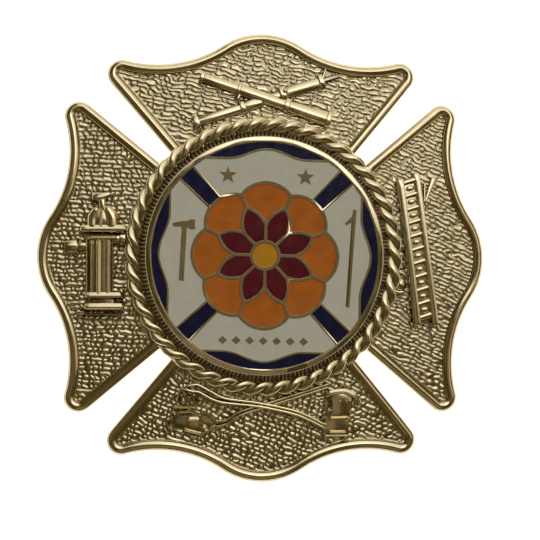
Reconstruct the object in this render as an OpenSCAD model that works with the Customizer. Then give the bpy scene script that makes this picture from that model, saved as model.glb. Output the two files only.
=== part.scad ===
// Insignia pin: a domed, struck metal cross with a rope ring, an enamelled seal and a bar pin behind.
// Millimetres. +Z is the front of the badge and +Y its top. Z 0 is the plane that it rests on.

/* [Plate] */
// Height of the plate's back above the resting plane, at the centre
back_h = 5; // [4.8:0.1:6]
// Thickness of the plate at its rim
plate_t = 1.6; // [1.5:0.05:2]
// Depth of the recessed fields below the rim
field_depth = 0.5; // [0.35:0.05:0.6]
// Width of the raised rim round each arm
rim_w = 1; // [0.8:0.05:1.2]
// Radius of the dome that the plate's back follows
dome_r = 165; // [150:5:200]

/* [Outline of an arm] */
// Distance from the centre to the crest of an arm
crest_r = 28.5; // [28:0.1:29]
// Radius of the round lobe at the crest
lobe_r = 9.1; // [8.6:0.1:9.6]
// Angle that the lobe turns through on each side of the crest
lobe_angle = 33.7; // [32:0.1:35]
// Radius of the hollow between the lobe and the tip
hollow_r = 15; // [14:0.5:16]
// Radius of the rounded tip
tip_r = 1.8; // [1.6:0.05:2]
// Half width of the slit between two arms, at its inner end
slit_half_w = 1.02; // [0.9:0.02:1.2]
// Angle between the slit's side and the diagonal
slit_angle = 5.1; // [4:0.1:6]
// Distance from the centre to the slit's inner end
slit_r = 17.8; // [17.7:0.1:18.4]

/* [Rope ring] */
// Radius of the ring at the middle of the rope
rope_ring_r = 16.6; // [16.55:0.05:16.7]
// Thickness of the rope
rope_d = 1.84; // [1.7:0.02:1.86]
// Turns that each of the two strands makes round the ring
rope_turns = 23; // [18:1:26]
// Height of the rope's middle above the resting plane
rope_z = 5.95; // [5.9:0.05:6.1]

/* [Seal] */
// Diameter of the seal
seal_d = 30.14; // [29.6:0.02:30.3]
// Height of the seal's seat above the resting plane
seat_z = 5.8; // [5.7:0.05:5.9]
// Height of the seal's polished rim above the resting plane
seal_top_z = 7.75; // [7.5:0.05:8.2]
// Width of the polished rim
seal_rim_w = 0.66; // [0.5:0.02:0.8]
// Step from the rim down to the face
seal_step = 0.1; // [0.05:0.05:0.2]
// Depth of the enamel
enamel_depth = 0.45; // [0.3:0.05:0.6]
// Width of the metal lines between the enamels
line_w = 0.24; // [0.2:0.02:0.28]
// Turn of the seal on the plate, anticlockwise
seal_turn = -1.3; // [-4:0.1:4]
// Gap between an enamel and the metal round it
enamel_gap = 0.02; // [0.01:0.005:0.03]

/* [Cross on the seal] */
// Distance from the centre to the crest of a white arm
white_crest_r = 13.38; // [13.2:0.02:13.5]
// Distance from the centre to the straight part of a white arm's end
white_edge_r = 12.1; // [11.9:0.05:12.3]
// Half width of the crest's swell
swell_half_w = 5; // [4.5:0.1:5.5]
// Half width of a blue bar at the rim
bar_outer_half_w = 1.13; // [1:0.01:1.3]
// Half width of a blue bar at the rosette
bar_inner_half_w = 0.9; // [0.8:0.01:1]

/* [Rosette] */
// Radius of the rosette over its round lobes
rosette_r = 9.2; // [9:0.05:9.3]
// Radius of a round lobe
petal_lobe_r = 3.8; // [3.7:0.05:3.9]
// Distance from the centre to a red petal's point
red_point_r = 6.4; // [6:0.1:6.6]
// Distance from the centre to where two red petals part
red_part_r = 3.8; // [3.6:0.1:4]
// Radius of a red petal's curved side
red_side_r = 3.4; // [3.2:0.1:4]
// Radius of the heart
heart_r = 1.75; // [1.5:0.05:1.9]
// Width of the metal lines between the petals
petal_line_w = 0.38; // [0.3:0.02:0.44]

/* [Pin back] */
// Length of the base bar
bar_l = 30; // [28:0.5:31]
// Width of the base bar
bar_w = 5; // [4.5:0.1:6]
// Height of the base bar's lower face above the resting plane
bar_z = 3.6; // [3.4:0.05:3.7]
// Length of the hinge block and of the catch
block_l = 3.6; // [3:0.1:4.5]
// Diameter of the pin stem
stem_d = 1; // [0.9:0.05:1.2]
// Height of the stem's middle above the resting plane
stem_z = 1.3; // [1.1:0.05:1.4]

/* [Hidden] */
// Number of orange petals, and of red petals
petals = 8;

METALS = ["cross_plate", "rope_ring", "seal_disc", "pin_back"];
CRESCENTS = [for (i = [1:4]) str("blue_crescent_", i)];
BARS = [for (i = [1:4]) str("blue_bar_", i)];
WHITES = [for (i = [1:4]) str("white_arm_", i)];
ORANGES = [for (i = [1:petals]) str("orange_petal_", i)];
REDS = [for (i = [1:petals]) str("red_petal_", i)];

gold = "#c9b27a";
bright_gold = "#d8c48c";
navy = "#1b1824";
ivory = "#e6dfce";
orange = "#a85a14";
deep_red = "#5a0f12";

// Depth that a raised figure is rooted in the plate
root = 0.4;
// How far past the rope's middle the fields start
field_cover = 0.3;
// Width of the groove between the seal and its seat's wall
groove_w = 0.62;
// Height and width that pass everything
far = 40;
// Gap between two pieces that are set together
seam = 0.03;

rim_sphere_r = dome_r + plate_t;
field_sphere_r = rim_sphere_r - field_depth;
dome_z = back_h - dome_r;
field_in_r = rope_ring_r + field_cover;
seal_r = seal_d / 2;
seat_r = seal_r + groove_w;
// Radius of the enamels' outer edge, which a hair of metal parts from the step of the rim
face_r = seal_r - seal_rim_w - line_w / 2;
step_r = face_r + line_w / 2;
face_z = seal_top_z - seal_step;
petal_step = 360 / petals;

function polar(r, a) = [r * cos(a), r * sin(a)];
function heading(v) = atan2(v[1], v[0]);
function arc(c, r, a0, a1, n) = [for (i = [1:n]) c + polar(r, a0 + (a1 - a0) * i / n)];
function turned(p, a) = [p[0] * cos(a) - p[1] * sin(a), p[0] * sin(a) + p[1] * cos(a)];
function flipped(points) = [for (i = [len(points) - 1:-1:0]) [-points[i][0], points[i][1]]];

// The arm that points up, by its arcs' centres: lobe, hollow and tip, then the slit's straight side.
lobe_c = [0, crest_r - lobe_r];
hollow_c = lobe_c + polar(lobe_r + hollow_r, 90 - lobe_angle);
side_dir = polar(1, 45 + slit_angle);
side_in = polar(1, 135 + slit_angle);
side_start = polar(slit_r, 45) + polar(slit_half_w, 135);
tip_line = side_start + side_in * tip_r - hollow_c;
tip_reach = -tip_line * side_dir
    - sqrt(pow(tip_line * side_dir, 2) - tip_line * tip_line + pow(hollow_r + tip_r, 2));
tip_c = hollow_c + tip_line + side_dir * tip_reach;

// The point of the side, set in by d, that lies r from the badge's centre
function side_point(d, r) =
    let (p = side_start + side_in * d, q = p * side_dir)
    p + side_dir * (-q + sqrt(q * q - p * p + r * r));

// The right half of the arm's outline, set in by d, from just past the crest to r from the centre
function half_arm(d, r) = concat(
    arc(lobe_c, lobe_r - d, 90, 90 - lobe_angle, 8),
    arc(hollow_c, hollow_r + d, heading(lobe_c - hollow_c), heading(tip_c - hollow_c), 9),
    arc(tip_c, tip_r - d, heading(hollow_c - tip_c), heading(-side_in), 7),
    [side_point(d, r)]
);
function arm(d, r) = concat(flipped(half_arm(d, r)), [[0, crest_r - d]], half_arm(d, r));

cross_points = [for (k = [0:3]) for (p = arm(0, slit_r)) turned(p, -90 * k)];
field_start = side_point(rim_w, field_in_r);
field_points = concat(
    arm(rim_w, field_in_r),
    arc([0, 0], field_in_r, heading(field_start), 180 - heading(field_start), 16)
);

// A ball about the dome's centre, fine enough for its long radius
module dome(r) {
    translate([0, 0, dome_z]) sphere(r = r, $fn = 360);
}

// A flat figure raised to height h over the fields
module raised(h) {
    intersection() {
        linear_extrude(height = far) children();
        dome(field_sphere_r + h);
    }
}

// Children drawn at the origin, set on the field over the point p, level with the dome there
module on_field(p, turn = 0) {
    translate([0, 0, dome_z])
        rotate([0, 0, heading(p)])
        rotate([0, asin(norm(p) / field_sphere_r), 0])
        translate([0, 0, field_sphere_r])
        rotate([0, 0, turn - heading(p)])
        children();
}

// A round bar lying on the field from a to b, with its middle lifted above it
module rod(a, b, r1, r2, lift = 0) {
    on_field((a + b) / 2, heading(b - a))
        translate([-norm(b - a) / 2, 0, lift])
        rotate([0, 90, 0])
        cylinder(h = norm(b - a), r1 = r1, r2 = r2, $fn = 48);
}

// A collar or flange: a short round bar about the point p of a rod that points along a
module collar(p, a, l, r, lift = 0) {
    rod(p - polar(l / 2, a), p + polar(l / 2, a), r, r, lift);
}

// A straight strip between two points, drawn flat
module strip(a, b, w) {
    translate(a)
        rotate(heading(b - a))
        translate([0, -w / 2])
        square([norm(b - a), w]);
}

// A strip of width w that follows a list of points
module stroke(points, w) {
    for (i = [1:len(points) - 1]) {
        strip(points[i - 1], points[i], w);
        if (i > 1) translate(points[i - 1]) circle(d = w * 1.02, $fn = 24);
    }
}

// A straight round thing that starts at a point and lies at an angle. Tubes are rows of start, end,
// radius at the start, radius at the end and lift. Collars are rows of place, length, radius and lift.
module turned_piece(from, a, tubes, collars) {
    for (t = tubes) rod(from + polar(t[0], a), from + polar(t[1], a), t[2], t[3], t[4]);
    for (c = collars) collar(from + polar(c[0], a), a, c[1], c[2], c[3]);
}

// Crossed hose nozzles on the top arm, the long plain one over the one with a grip
module nozzles() {
    over_tip = [-7.5, 23.1];
    over_end = [9.2, 17.2];
    over_l = norm(over_end - over_tip);
    turned_piece(
        over_tip,
        heading(over_end - over_tip),
        [[0, 11.6, 0.5, 0.62, 0.42], [11.6, over_l, 0.66, 0.76, 0.25]],
        [[0, 0.5, 0.72, 0.25], [11.6, 0.5, 0.92, 0.25], [over_l, 0.45, 0.98, 0.2]]
    );
    under_end = [-8.6, 17.25];
    under_tip = [10.1, 23.7];
    turned_piece(
        under_end,
        heading(under_tip - under_end),
        [
            [0, 6.6, 0.52, 0.5, 0.15], [6.6, 12.3, 0.56, 0.54, 0.1], [12.3, 17.6, 0.62, 0.55, 0.15],
            [17.6, norm(under_tip - under_end), 0.28, 0.24, 0.15]
        ],
        [[0, 0.6, 1.05, 0], [6.6, 0.5, 0.78, 0.1], [12.3, 0.55, 0.86, 0.1], [17.6, 0.4, 0.84, 0.1]]
    );
}

// Fire hydrant on the left arm
module hydrant() {
    middle = [-20.3, 0];
    // Flanges across the hydrant: left end, right end, height on the arm, radius and lift
    flanges = [
        [-2.75, 2.75, 3.66, 0.4, 0.5],
        [-1.45, 1.4, 2.72, 0.27, 0.55],
        [-1.2, 2.4, -5, 0.38, 0.5],
        [-2, 2.3, -6.42, 0.36, 0.5]
    ];
    // Outlets: inner end, outer end, height on the arm, radius, and the cap's length and radius
    outlets = [
        [-1.2, -4.3, 1.2, 0.62, 0.6, 0.86],
        [1, 2.7, 2, 0.66, 0.5, 0.88]
    ];
    raised(0.55) strip(middle + [-0.9, 7.6], middle + [0.4, 7.6], 0.95);
    raised(0.4) strip(middle + [-0.25, 7.4], middle + [-0.25, 5.6], 0.8);
    on_field(middle + [0, 4.5])
        intersection() {
            translate([0, 0, -0.9]) sphere(r = 1.98, $fn = 64);
            translate([-far / 2, -0.35, -1]) cube([far, far, far]);
        }
    rod(middle + [-0.2, 4.2], middle + [-0.2, -4.7], 1.75, 1.75, -0.8);
    rod(middle + [0, -4.5], middle + [0, -7.3], 1.5, 1.5, -0.8);
    for (f = flanges) rod(middle + [f[0], f[2]], middle + [f[1], f[2]], f[3], f[3], f[4]);
    for (o = outlets) {
        side = sign(o[1]);
        rod(middle + [o[0], o[2]], middle + [o[1], o[2]], o[3], o[3], 0.05);
        collar(middle + [o[1] - side * o[4] / 2, o[2]], 0, o[4], o[5], 0);
    }
    raised(0.35) strip(middle + [-2.9, -7.3], middle + [2.2, -7.3], 0.4);
}

// Ladder with a pike pole behind it, on the right arm
module ladder() {
    left_top = [17.95, 9.75];
    left_foot = [19.95, -8.6];
    right_top = [20.25, 10.5];
    right_foot = [22.4, -8.3];
    rungs = 11;
    rung_w = 0.42;
    rail_w = 0.68;
    pole_w = 0.36;
    raised(0.4)
        for (i = [0:rungs - 1]) {
            t = (i + 0.2) / (rungs - 0.3);
            strip(
                left_top + (left_foot - left_top) * t,
                right_top + (right_foot - right_top) * t,
                rung_w
            );
        }
    raised(0.62) {
        strip(left_top, left_foot, rail_w);
        strip(right_top, right_foot, rail_w);
    }
    raised(0.28) strip([21.75, 9.7], [18.2, -3.2], pole_w);
    raised(0.45) strip([21.5, 8.6], [22.1, 9.5], 0.4);
    on_field([17.95, -3.6]) translate([0, 0, -0.35]) sphere(r = 0.95, $fn = 48);
}

// Axe with a curved handle, crossed over by a speaking trumpet, on the bottom arm
module axe_and_trumpet() {
    handle = [
        [-9.4, -16.9], [-7.2, -16.8], [-4.8, -18], [-1.6, -18.5], [2.4, -18.8], [5.8, -19.8], [9, -21.2]
    ];
    head = [
        [8.2, -17.35], [9.2, -16.95], [10.4, -16.85], [11.8, -17.25], [11.4, -18.6], [11.35, -20.6],
        [10.9, -22.5], [8.3, -22.4], [8.1, -20.9], [8.9, -20.2], [8.95, -18.6]
    ];
    raised(0.5) {
        stroke(handle, 0.68);
        translate(handle[0]) circle(d = 1.25, $fn = 32);
    }
    raised(0.8) polygon(head);
    bell = [-9.9, -20.9];
    throat = [-5.6, -21];
    bend = [-1.4, -19.35];
    mouth = [9.1, -16.2];
    overlap = 0.25;
    turned_piece(
        bell,
        heading(throat - bell),
        [[0, norm(throat - bell), 1.75, 0.55, -0.3]],
        [[0.3, 0.5, 1.95, -0.3], [2.5, 0.4, 1.3, -0.1]]
    );
    rod(throat + polar(overlap, 200), bend + polar(overlap, 20), 0.45, 0.42, 0.1);
    turned_piece(
        bend,
        heading(mouth - bend),
        [[0, norm(mouth - bend), 0.44, 0.4, 0.05]],
        [[norm(mouth - bend), 0.4, 0.62, 0.1]]
    );
    // Three loops and a bar over the bell, where its cord is tied
    loop_r = 0.52;
    raised(0.5)
        for (x = [-10.55, -9.7, -8.85])
            translate([x, -17.95])
            difference() {
                circle(r = loop_r, $fn = 24);
                circle(r = loop_r / 2, $fn = 24);
            }
    raised(0.55) strip([-11.1, -18.6], [-8.3, -18.6], 0.35);
}

// Struck plate: four arms with a raised rim, recessed fields and the figures that are struck with it
module cross_plate() {
    color(gold) {
        difference() {
            intersection() {
                linear_extrude(height = far) polygon(cross_points);
                dome(rim_sphere_r);
            }
            dome(dome_r);
            difference() {
                linear_extrude(height = far)
                    for (k = [0:3]) rotate(90 * k) polygon(field_points);
                dome(field_sphere_r);
            }
            translate([0, 0, seat_z]) cylinder(h = far, r = seat_r, $fn = 180);
            translate([0, 0, rope_z])
                rotate_extrude($fn = 180)
                translate([rope_ring_r, 0])
                circle(d = rope_d + 2 * seam, $fn = 48);
        }
        difference() {
            union() {
                nozzles();
                hydrant();
                ladder();
                axe_and_trumpet();
            }
            dome(field_sphere_r - root);
        }
    }
}

// Distance from the rope's middle to its surface, at the angle a from the plane of its two strands
strand_r = rope_d * 0.29;
strand_c = rope_d / 2 - strand_r;
function rope_edge(a) = strand_c * abs(cos(a)) + sqrt(pow(strand_r, 2) - pow(strand_c * sin(a), 2));

rope_sides = 12;
rope_steps = rope_turns * 10;
function rope_point(i, j) =
    let (ring_a = 360 * i / rope_steps)
    let (a = 360 * j / rope_sides)
    let (roll = a + 360 * rope_turns * i / rope_steps)
    let (r = rope_ring_r + rope_edge(a) * cos(roll))
    [r * cos(ring_a), r * sin(ring_a), rope_z + rope_edge(a) * sin(roll)];

// Two strands twisted into a rope and closed into a ring
module rope_ring() {
    points = [for (i = [0:rope_steps - 1]) for (j = [0:rope_sides - 1]) rope_point(i, j)];
    faces = [
        for (i = [0:rope_steps - 1])
            for (j = [0:rope_sides - 1])
                let (i2 = (i + 1) % rope_steps, j2 = (j + 1) % rope_sides)
                let (a = i * rope_sides + j, b = i * rope_sides + j2)
                let (c = i2 * rope_sides + j2, d = i2 * rope_sides + j)
                each [[a, b, c], [a, c, d]]
    ];
    color(bright_gold) polyhedron(points = points, faces = faces, convexity = 6);
}

// The end of a white arm, moved outwards by d: a swell in the middle of a straight edge
function arm_end(d) = [
    for (i = [-12:12])
        let (x = swell_half_w * i / 12)
        [x, white_edge_r + (white_crest_r - white_edge_r) * (1 + cos(180 * i / 12)) / 2 + d]
];

// Half width of a blue bar at the distance r along it
function bar_half_w(r) =
    bar_inner_half_w
    + (bar_outer_half_w - bar_inner_half_w) * (r - rosette_r) / (face_r - rosette_r);

// A blue bar's outline along the X axis, from the rosette's middle past the rim, grown by d on each side
function bar_outline(d) =
    let (r0 = rosette_r / 2, r1 = face_r + 1)
    let (w0 = bar_half_w(r0) + d, w1 = bar_half_w(r1) + d)
    [[r0, -w0], [r1, -w1], [r1, w1], [r0, w0]];

// The rosette's scalloped outline, grown by d
module rosette_outline(d) {
    for (k = [0:petals - 1])
        rotate(petal_step * k)
            translate([rosette_r - petal_lobe_r, 0])
            circle(r = petal_lobe_r + d, $fn = 72);
    circle(r = rosette_r - petal_lobe_r, $fn = 72);
}

// The sector between two arms' diagonals, out to past the rim
module arm_sector() {
    polygon([[0, 0], [far, far], [-far, far]]);
}

// Blue outside the end of a white arm, drawn for the top arm
module crescent_cell() {
    edge = arm_end(line_w / 2);
    intersection() {
        circle(r = face_r, $fn = 180);
        polygon(concat([[-far, edge[0][1]]], edge, [[far, edge[0][1]], [far, far], [-far, far]]));
        arm_sector();
    }
}

// Blue between two white arms, drawn along the X axis
module bar_cell() {
    difference() {
        intersection() {
            circle(r = face_r, $fn = 180);
            polygon(bar_outline(-line_w / 2));
        }
        rosette_outline(petal_line_w / 2);
    }
}

// A white arm with room for its metal figures, drawn for the arm number k
module white_cell(k) {
    edge = arm_end(-line_w / 2);
    difference() {
        intersection() {
            circle(r = face_r, $fn = 180);
            polygon(concat([[-far, edge[0][1]]], edge, [[far, edge[0][1]], [far, 1], [-far, 1]]));
            arm_sector();
        }
        for (a = [45, 135]) rotate(a) polygon(bar_outline(line_w / 2));
        rosette_outline(petal_line_w / 2);
        seal_figure(k);
    }
}

// A five-pointed star
module star(r) {
    polygon([for (i = [0:9]) polar(i % 2 == 0 ? r : r * 0.42, 90 + 36 * i)]);
}

// The metal figures that stand in the white, each turned so that its arm points up
module seal_figure(k) {
    if (k == 0) {
        for (x = [-4.9, 4.9]) translate([x, 10]) star(1.15);
    } else if (k == 1) {
        rotate(-90) small_axe();
    } else if (k == 2) {
        for (i = [-3:3])
            translate([1.7 * i, 10.7])
            polygon([[-0.55, 0], [0, -0.5], [0.55, 0], [0, 0.5]]);
    } else {
        rotate(90) small_pike();
    }
}

// Axe that stands on the left arm
module small_axe() {
    polygon([
        [-11.75, 3.75], [-11.6, 3.35], [-10.55, 3.35], [-10.75, -3.35], [-10.15, -3.45], [-9.95, 3.3],
        [-9.3, 3], [-8.85, 3.15], [-8.95, 3.7], [-8.85, 4.25], [-9.4, 4.3], [-10, 4.05], [-10.6, 4.05]
    ]);
}

// Pike pole that stands on the right arm
module small_pike() {
    polygon([
        [11.45, 6.05], [11.05, 6.1], [10.9, 5.2], [10, 4.3], [10.2, 4.1], [10.85, 4.5],
        [10.35, -6.2], [10.8, -6.25]
    ]);
}

// The wedge along the X axis that one petal has, with half a line left out on each side
module petal_wedge() {
    apex = [petal_line_w / 2 / sin(petal_step / 2), 0];
    polygon([apex, apex + polar(far, petal_step / 2), apex + polar(far, -petal_step / 2)]);
}

// One orange petal's cell along the X axis: a round lobe outside two red petals
module orange_cell() {
    difference() {
        intersection() {
            translate([rosette_r - petal_lobe_r, 0]) circle(r = petal_lobe_r - petal_line_w / 2, $fn = 72);
            petal_wedge();
        }
        for (side = [-1, 1]) rotate(side * petal_step / 2) red_petal_outline(petal_line_w / 2);
    }
}

red_shoulder = polar(red_part_r, petal_step / 2);
red_chord = [red_point_r, 0] - red_shoulder;
red_sag = sqrt(pow(red_side_r, 2) - pow(norm(red_chord) / 2, 2));
red_centre = red_shoulder + red_chord / 2 + [red_chord[1], -red_chord[0]] / norm(red_chord) * red_sag;

// One red petal's outline along the X axis, a pointed arch, grown by d
module red_petal_outline(d) {
    a0 = heading(red_shoulder - red_centre);
    a1 = asin(-red_centre[1] / (red_side_r + d));
    upper = concat([red_centre + polar(red_side_r + d, a0)], arc(red_centre, red_side_r + d, a0, a1, 8));
    lower = [for (i = [len(upper) - 1:-1:0]) [upper[i][0], -upper[i][1]]];
    polygon(concat([[0, 0]], upper, lower));
}

// One red petal's cell along the X axis
module red_cell() {
    difference() {
        intersection() {
            red_petal_outline(-petal_line_w / 2);
            petal_wedge();
        }
        circle(r = heart_r + petal_line_w / 2, $fn = 64);
    }
}

// Every pocket in the face, drawn flat
module pockets() {
    for (k = [0:3]) {
        rotate(90 * k) crescent_cell();
        rotate(90 * k) white_cell(k);
        rotate(90 * k + 45) bar_cell();
    }
    for (k = [0:petals - 1]) {
        rotate(petal_step * k) orange_cell();
        rotate(petal_step * (k + 0.5)) red_cell();
    }
    circle(r = heart_r - petal_line_w / 2, $fn = 64);
}

// Metal disc of the seal: polished rim, face, lines and figures, with a pocket for each enamel
module seal_disc() {
    color(bright_gold)
        rotate(seal_turn)
        difference() {
            translate([0, 0, seat_z + seam])
                cylinder(h = seal_top_z - seat_z - seam, r = seal_r, $fn = 180);
            translate([0, 0, face_z]) cylinder(h = far, r = step_r, $fn = 180);
            translate([0, 0, face_z - enamel_depth])
                linear_extrude(height = 2 * enamel_depth)
                pockets();
        }
}

// Enamel that fills a pocket, with a fine gap all round
module enamel(tint) {
    color(tint)
        rotate(seal_turn)
        translate([0, 0, face_z - enamel_depth + enamel_gap])
        linear_extrude(height = enamel_depth - enamel_gap)
        offset(delta = -enamel_gap)
        children();
}

// Bar pin: base bar under the plate, hinge block, catch and stem, all one piece
module pin_back() {
    block_w = bar_w * 0.84;
    block_h = bar_z + 0.3;
    foot_x = bar_l / 2 - block_l;
    color(gold) {
        intersection() {
            translate([-bar_l / 2, -bar_w / 2, bar_z]) cube([bar_l, bar_w, back_h]);
            dome(dome_r - seam);
        }
        for (side = [-1, 1])
            translate([side > 0 ? foot_x : -foot_x - block_l, -block_w / 2, 0])
                cube([block_l, block_w, block_h]);
        translate([-foot_x - block_l / 2, 0, stem_z])
            rotate([0, 90, 0])
            cylinder(h = 2 * foot_x + block_l, d = stem_d, $fn = 48);
    }
}

cross_plate();
rope_ring();
seal_disc();
for (k = [0:3]) {
    enamel(navy) rotate(90 * k) crescent_cell();
    enamel(navy) rotate(90 * k + 45) bar_cell();
    enamel(ivory) rotate(90 * k) white_cell(k);
}
for (k = [0:petals - 1]) {
    enamel(orange) rotate(petal_step * k) orange_cell();
    enamel(deep_red) rotate(petal_step * (k + 0.5)) red_cell();
}
enamel(orange) circle(r = heart_r - petal_line_w / 2, $fn = 64);  // rosette_heart
pin_back();
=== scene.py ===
"""An enamelled insignia pin: a struck brass cross with raised figures, a rope ring and an enamelled seal.

Laid out as a Blender add-on and run as a script. Everything is in metres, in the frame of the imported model.
"""

import math
from contextlib import contextmanager
from functools import partial

import bmesh
import bpy
from bpy.props import FloatProperty, FloatVectorProperty, IntProperty, PointerProperty
from mathutils import Matrix, Vector, kdtree


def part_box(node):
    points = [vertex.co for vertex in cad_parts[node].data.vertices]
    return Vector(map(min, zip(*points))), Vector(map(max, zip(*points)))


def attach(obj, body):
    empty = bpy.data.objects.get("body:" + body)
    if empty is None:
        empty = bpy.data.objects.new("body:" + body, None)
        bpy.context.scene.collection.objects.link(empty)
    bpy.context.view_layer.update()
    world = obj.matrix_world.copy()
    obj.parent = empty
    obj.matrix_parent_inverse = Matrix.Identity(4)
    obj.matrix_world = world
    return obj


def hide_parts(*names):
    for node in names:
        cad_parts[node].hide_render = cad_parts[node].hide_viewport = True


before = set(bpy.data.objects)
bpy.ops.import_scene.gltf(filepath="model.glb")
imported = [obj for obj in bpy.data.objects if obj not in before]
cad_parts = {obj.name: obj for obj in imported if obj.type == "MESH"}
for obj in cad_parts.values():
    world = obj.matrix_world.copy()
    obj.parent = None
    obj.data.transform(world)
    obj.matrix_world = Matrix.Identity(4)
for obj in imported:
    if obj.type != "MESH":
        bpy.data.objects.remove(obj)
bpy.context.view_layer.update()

bl_info = {
    "name": "Enamelled insignia pin",
    "version": (1, 0, 0),
    "blender": (4, 5, 0),
    "location": "3D View > Sidebar > Insignia Pin",
    "description": "Makes a struck brass cross with relief figures, a rope ring and an enamelled seal",
    "category": "Object",
}

MM = 0.001
FULL_TURN = 2 * math.pi
# The arms in the order in which they stand round the badge, going clockwise, each with its quarter turns
ARMS = {"top": 0, "right": 3, "bottom": 2, "left": 1}


def linear(code):
    """The linear colour of an sRGB hex code."""
    channels = [int(code[i:i + 2], 16) / 255 for i in (1, 3, 5)]
    return [c / 12.92 if c <= 0.04045 else ((c + 0.055) / 1.055) ** 2.4 for c in channels]


def colour(name, description, code):
    return FloatVectorProperty(name=name, description=description, default=linear(code),
                               subtype="COLOR", min=0, max=1)


def length(name, description, millimetres):
    return FloatProperty(name=name, description=description, default=millimetres * MM,
                         min=0, unit="LENGTH", subtype="DISTANCE")


def plain_number(name, description, value):
    return FloatProperty(name=name, description=description, default=value, min=0)


def angle(name, description, degrees):
    return FloatProperty(name=name, description=description, default=math.radians(degrees),
                         unit="ROTATION", subtype="ANGLE")


class PlateSettings(bpy.types.PropertyGroup):
    """Sizes of the struck cross."""

    crest: length("Crest", "Centre to the top of an arm's lobe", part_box("cross_plate")[1].y / MM)
    lobe_radius: length("Lobe radius", "Radius of the round end of an arm", 9.1)
    lobe_angle: angle("Lobe angle", "Half angle that the round end covers", 33.7)
    hollow_radius: length("Hollow radius", "Radius of the hollow beside the lobe", 15)
    tip_radius: length("Tip radius", "Radius of an arm's rounded corner", 1.8)
    slit_width: length("Slit half width", "Half width of the slit where it starts", 1.02)
    slit_angle: angle("Slit angle", "Angle at which each side of a slit opens", 5.1)
    slit_start: length("Slit start", "Radius at which the slit's width is measured", 17.8)
    hub_radius: length("Hub radius", "Radius at which the arms and slits end", 17.5)
    dome_radius: length("Dome radius", "Radius of the sphere that the back follows", 165)
    dome_height: length("Dome height", "Height of the middle of the back over the rest plane", 5)
    ground_height: length("Ground height", "Thickness of the plate at its pebbled ground", 1.1)
    rim_height: length("Rim height", "Thickness of the plate at its raised rim", 1.6)
    seat_height: length("Seat height", "Height of the flat seat under the seal", 5.8)


class GrainSettings(bpy.types.PropertyGroup):
    """Sizes of the pebbled ground."""

    cell: length("Cell", "Spacing of the points of the ground", 0.07)
    depth: length("Depth", "Depth of the furrows between pebbles", 0.135)
    warp: plain_number("Warp", "How far the rows wander, in millimetres", 1.45)
    ripple: plain_number("Ripple", "How uneven each pebble is, in millimetres", 0.3)


class RopeSettings(bpy.types.PropertyGroup):
    """Sizes of the rope ring and of the reeding inside it."""

    ring_radius: length("Ring radius", "Centre of the badge to the middle of the rope", 16.62)
    height: length("Height", "Height of the middle of the rope", 6.05)
    radius: length("Rope radius", "Radius of the rope over its strands", 1.04)
    groove_radius: length("Groove radius", "Radius of the rope in its grooves", 0.42)
    turns: IntProperty(name="Turns", description="Turns of each strand round the ring", default=23, min=1)
    start: angle("Start", "Turn of the strands at the ring's right side", -58)
    ribs: IntProperty(name="Ribs", description="Number of reeding ribs", default=186, min=3)
    rib_radius: length("Rib radius", "Radius of a rib", 0.24)


class SealSettings(bpy.types.PropertyGroup):
    """Finish of the seal's edges and enamels."""

    bevel: length("Bevel", "Rounding of the metal lines", 0.06)
    rim_rounding: length("Rim rounding", "Rounding of the rim's outer edge", 0.2)
    enamel_drop: length("Enamel drop", "How far the enamel lies under the metal lines", 0.07)


class StageSettings(bpy.types.PropertyGroup):
    """Camera and light."""

    view_distance: length("View distance", "Camera to the badge", 300)
    view_width: length("View width", "Width of the frame at the badge", 68.6)
    view_tilt: angle("View tilt", "Tilt of the view from straight down", 6.2)
    view_heading: angle("View heading", "Direction that the camera leans to", 203)
    floor_size: length("Floor size", "Side of the floor", 6000)


class ColourSettings(bpy.types.PropertyGroup):
    """Colours of the finishes."""

    gold: colour("Gold", "Plated brass", "#F6E2B4")
    # Mixed in where a piece marks recess: oxide and painted shade in hollows, painted shade on steep sides,
    # painted shadow on the reeding
    patina_and_shade: colour("Patina", "Dark oxide left in the hollows", "#2A2719")
    blue: colour("Blue enamel", "Dark blue enamel", "#14123A")
    white: colour("White enamel", "White enamel", "#DAD5BE")
    orange: colour("Orange enamel", "Orange enamel", "#CE6F0E")
    red: colour("Red enamel", "Deep red enamel", "#660C18")
    amber: colour("Amber enamel", "Amber enamel", "#D8930F")
    floor: colour("Floor", "Pale floor", "#F4F3F1")


SETTINGS = {
    "pin_plate": PlateSettings,
    "pin_grain": GrainSettings,
    "pin_rope": RopeSettings,
    "pin_seal": SealSettings,
    "pin_stage": StageSettings,
    "pin_colours": ColourSettings,
}


def settings(name):
    return getattr(bpy.context.scene, name)


def new_object(name, data):
    """An object that is linked to the scene."""
    made = bpy.data.objects.new(name, data)
    bpy.context.scene.collection.objects.link(made)
    return made


# Plane and dome

def polar(radius, direction):
    return Vector((radius * math.cos(direction), radius * math.sin(direction)))


def heading(vector):
    return math.atan2(vector.y, vector.x)


def turned(point, quarters):
    """A point of the plane turned anticlockwise by quarter turns."""
    return Matrix.Rotation(quarters * math.pi / 2, 2) @ Vector(point[:2])


def arc(centre, radius, start, end, steps):
    """Points of an arc, without its last one."""
    return [centre + polar(radius, start + (end - start) * i / steps) for i in range(steps)]


def on_dome(point, height):
    """The point of space at a height over the back's sphere."""
    plate = settings("pin_plate")
    reach = plate.dome_radius + height
    x, y = point[0], point[1]
    z = plate.dome_height - plate.dome_radius + math.sqrt(reach * reach - x * x - y * y)
    return Vector((x, y, z))


def on_ground(point, height):
    """The point of space at a height over the pebbled ground."""
    return on_dome(point, settings("pin_plate").ground_height + height)


def raised(point, rise):
    """The same for a point of the plane and a height that are given in millimetres."""
    return on_ground(Vector(point) * MM, rise * MM)


# Steps of the lobe, hollow, corner and side in half of an arm's edge
EDGE_STEPS = (24, 28, 16, 24)


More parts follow.
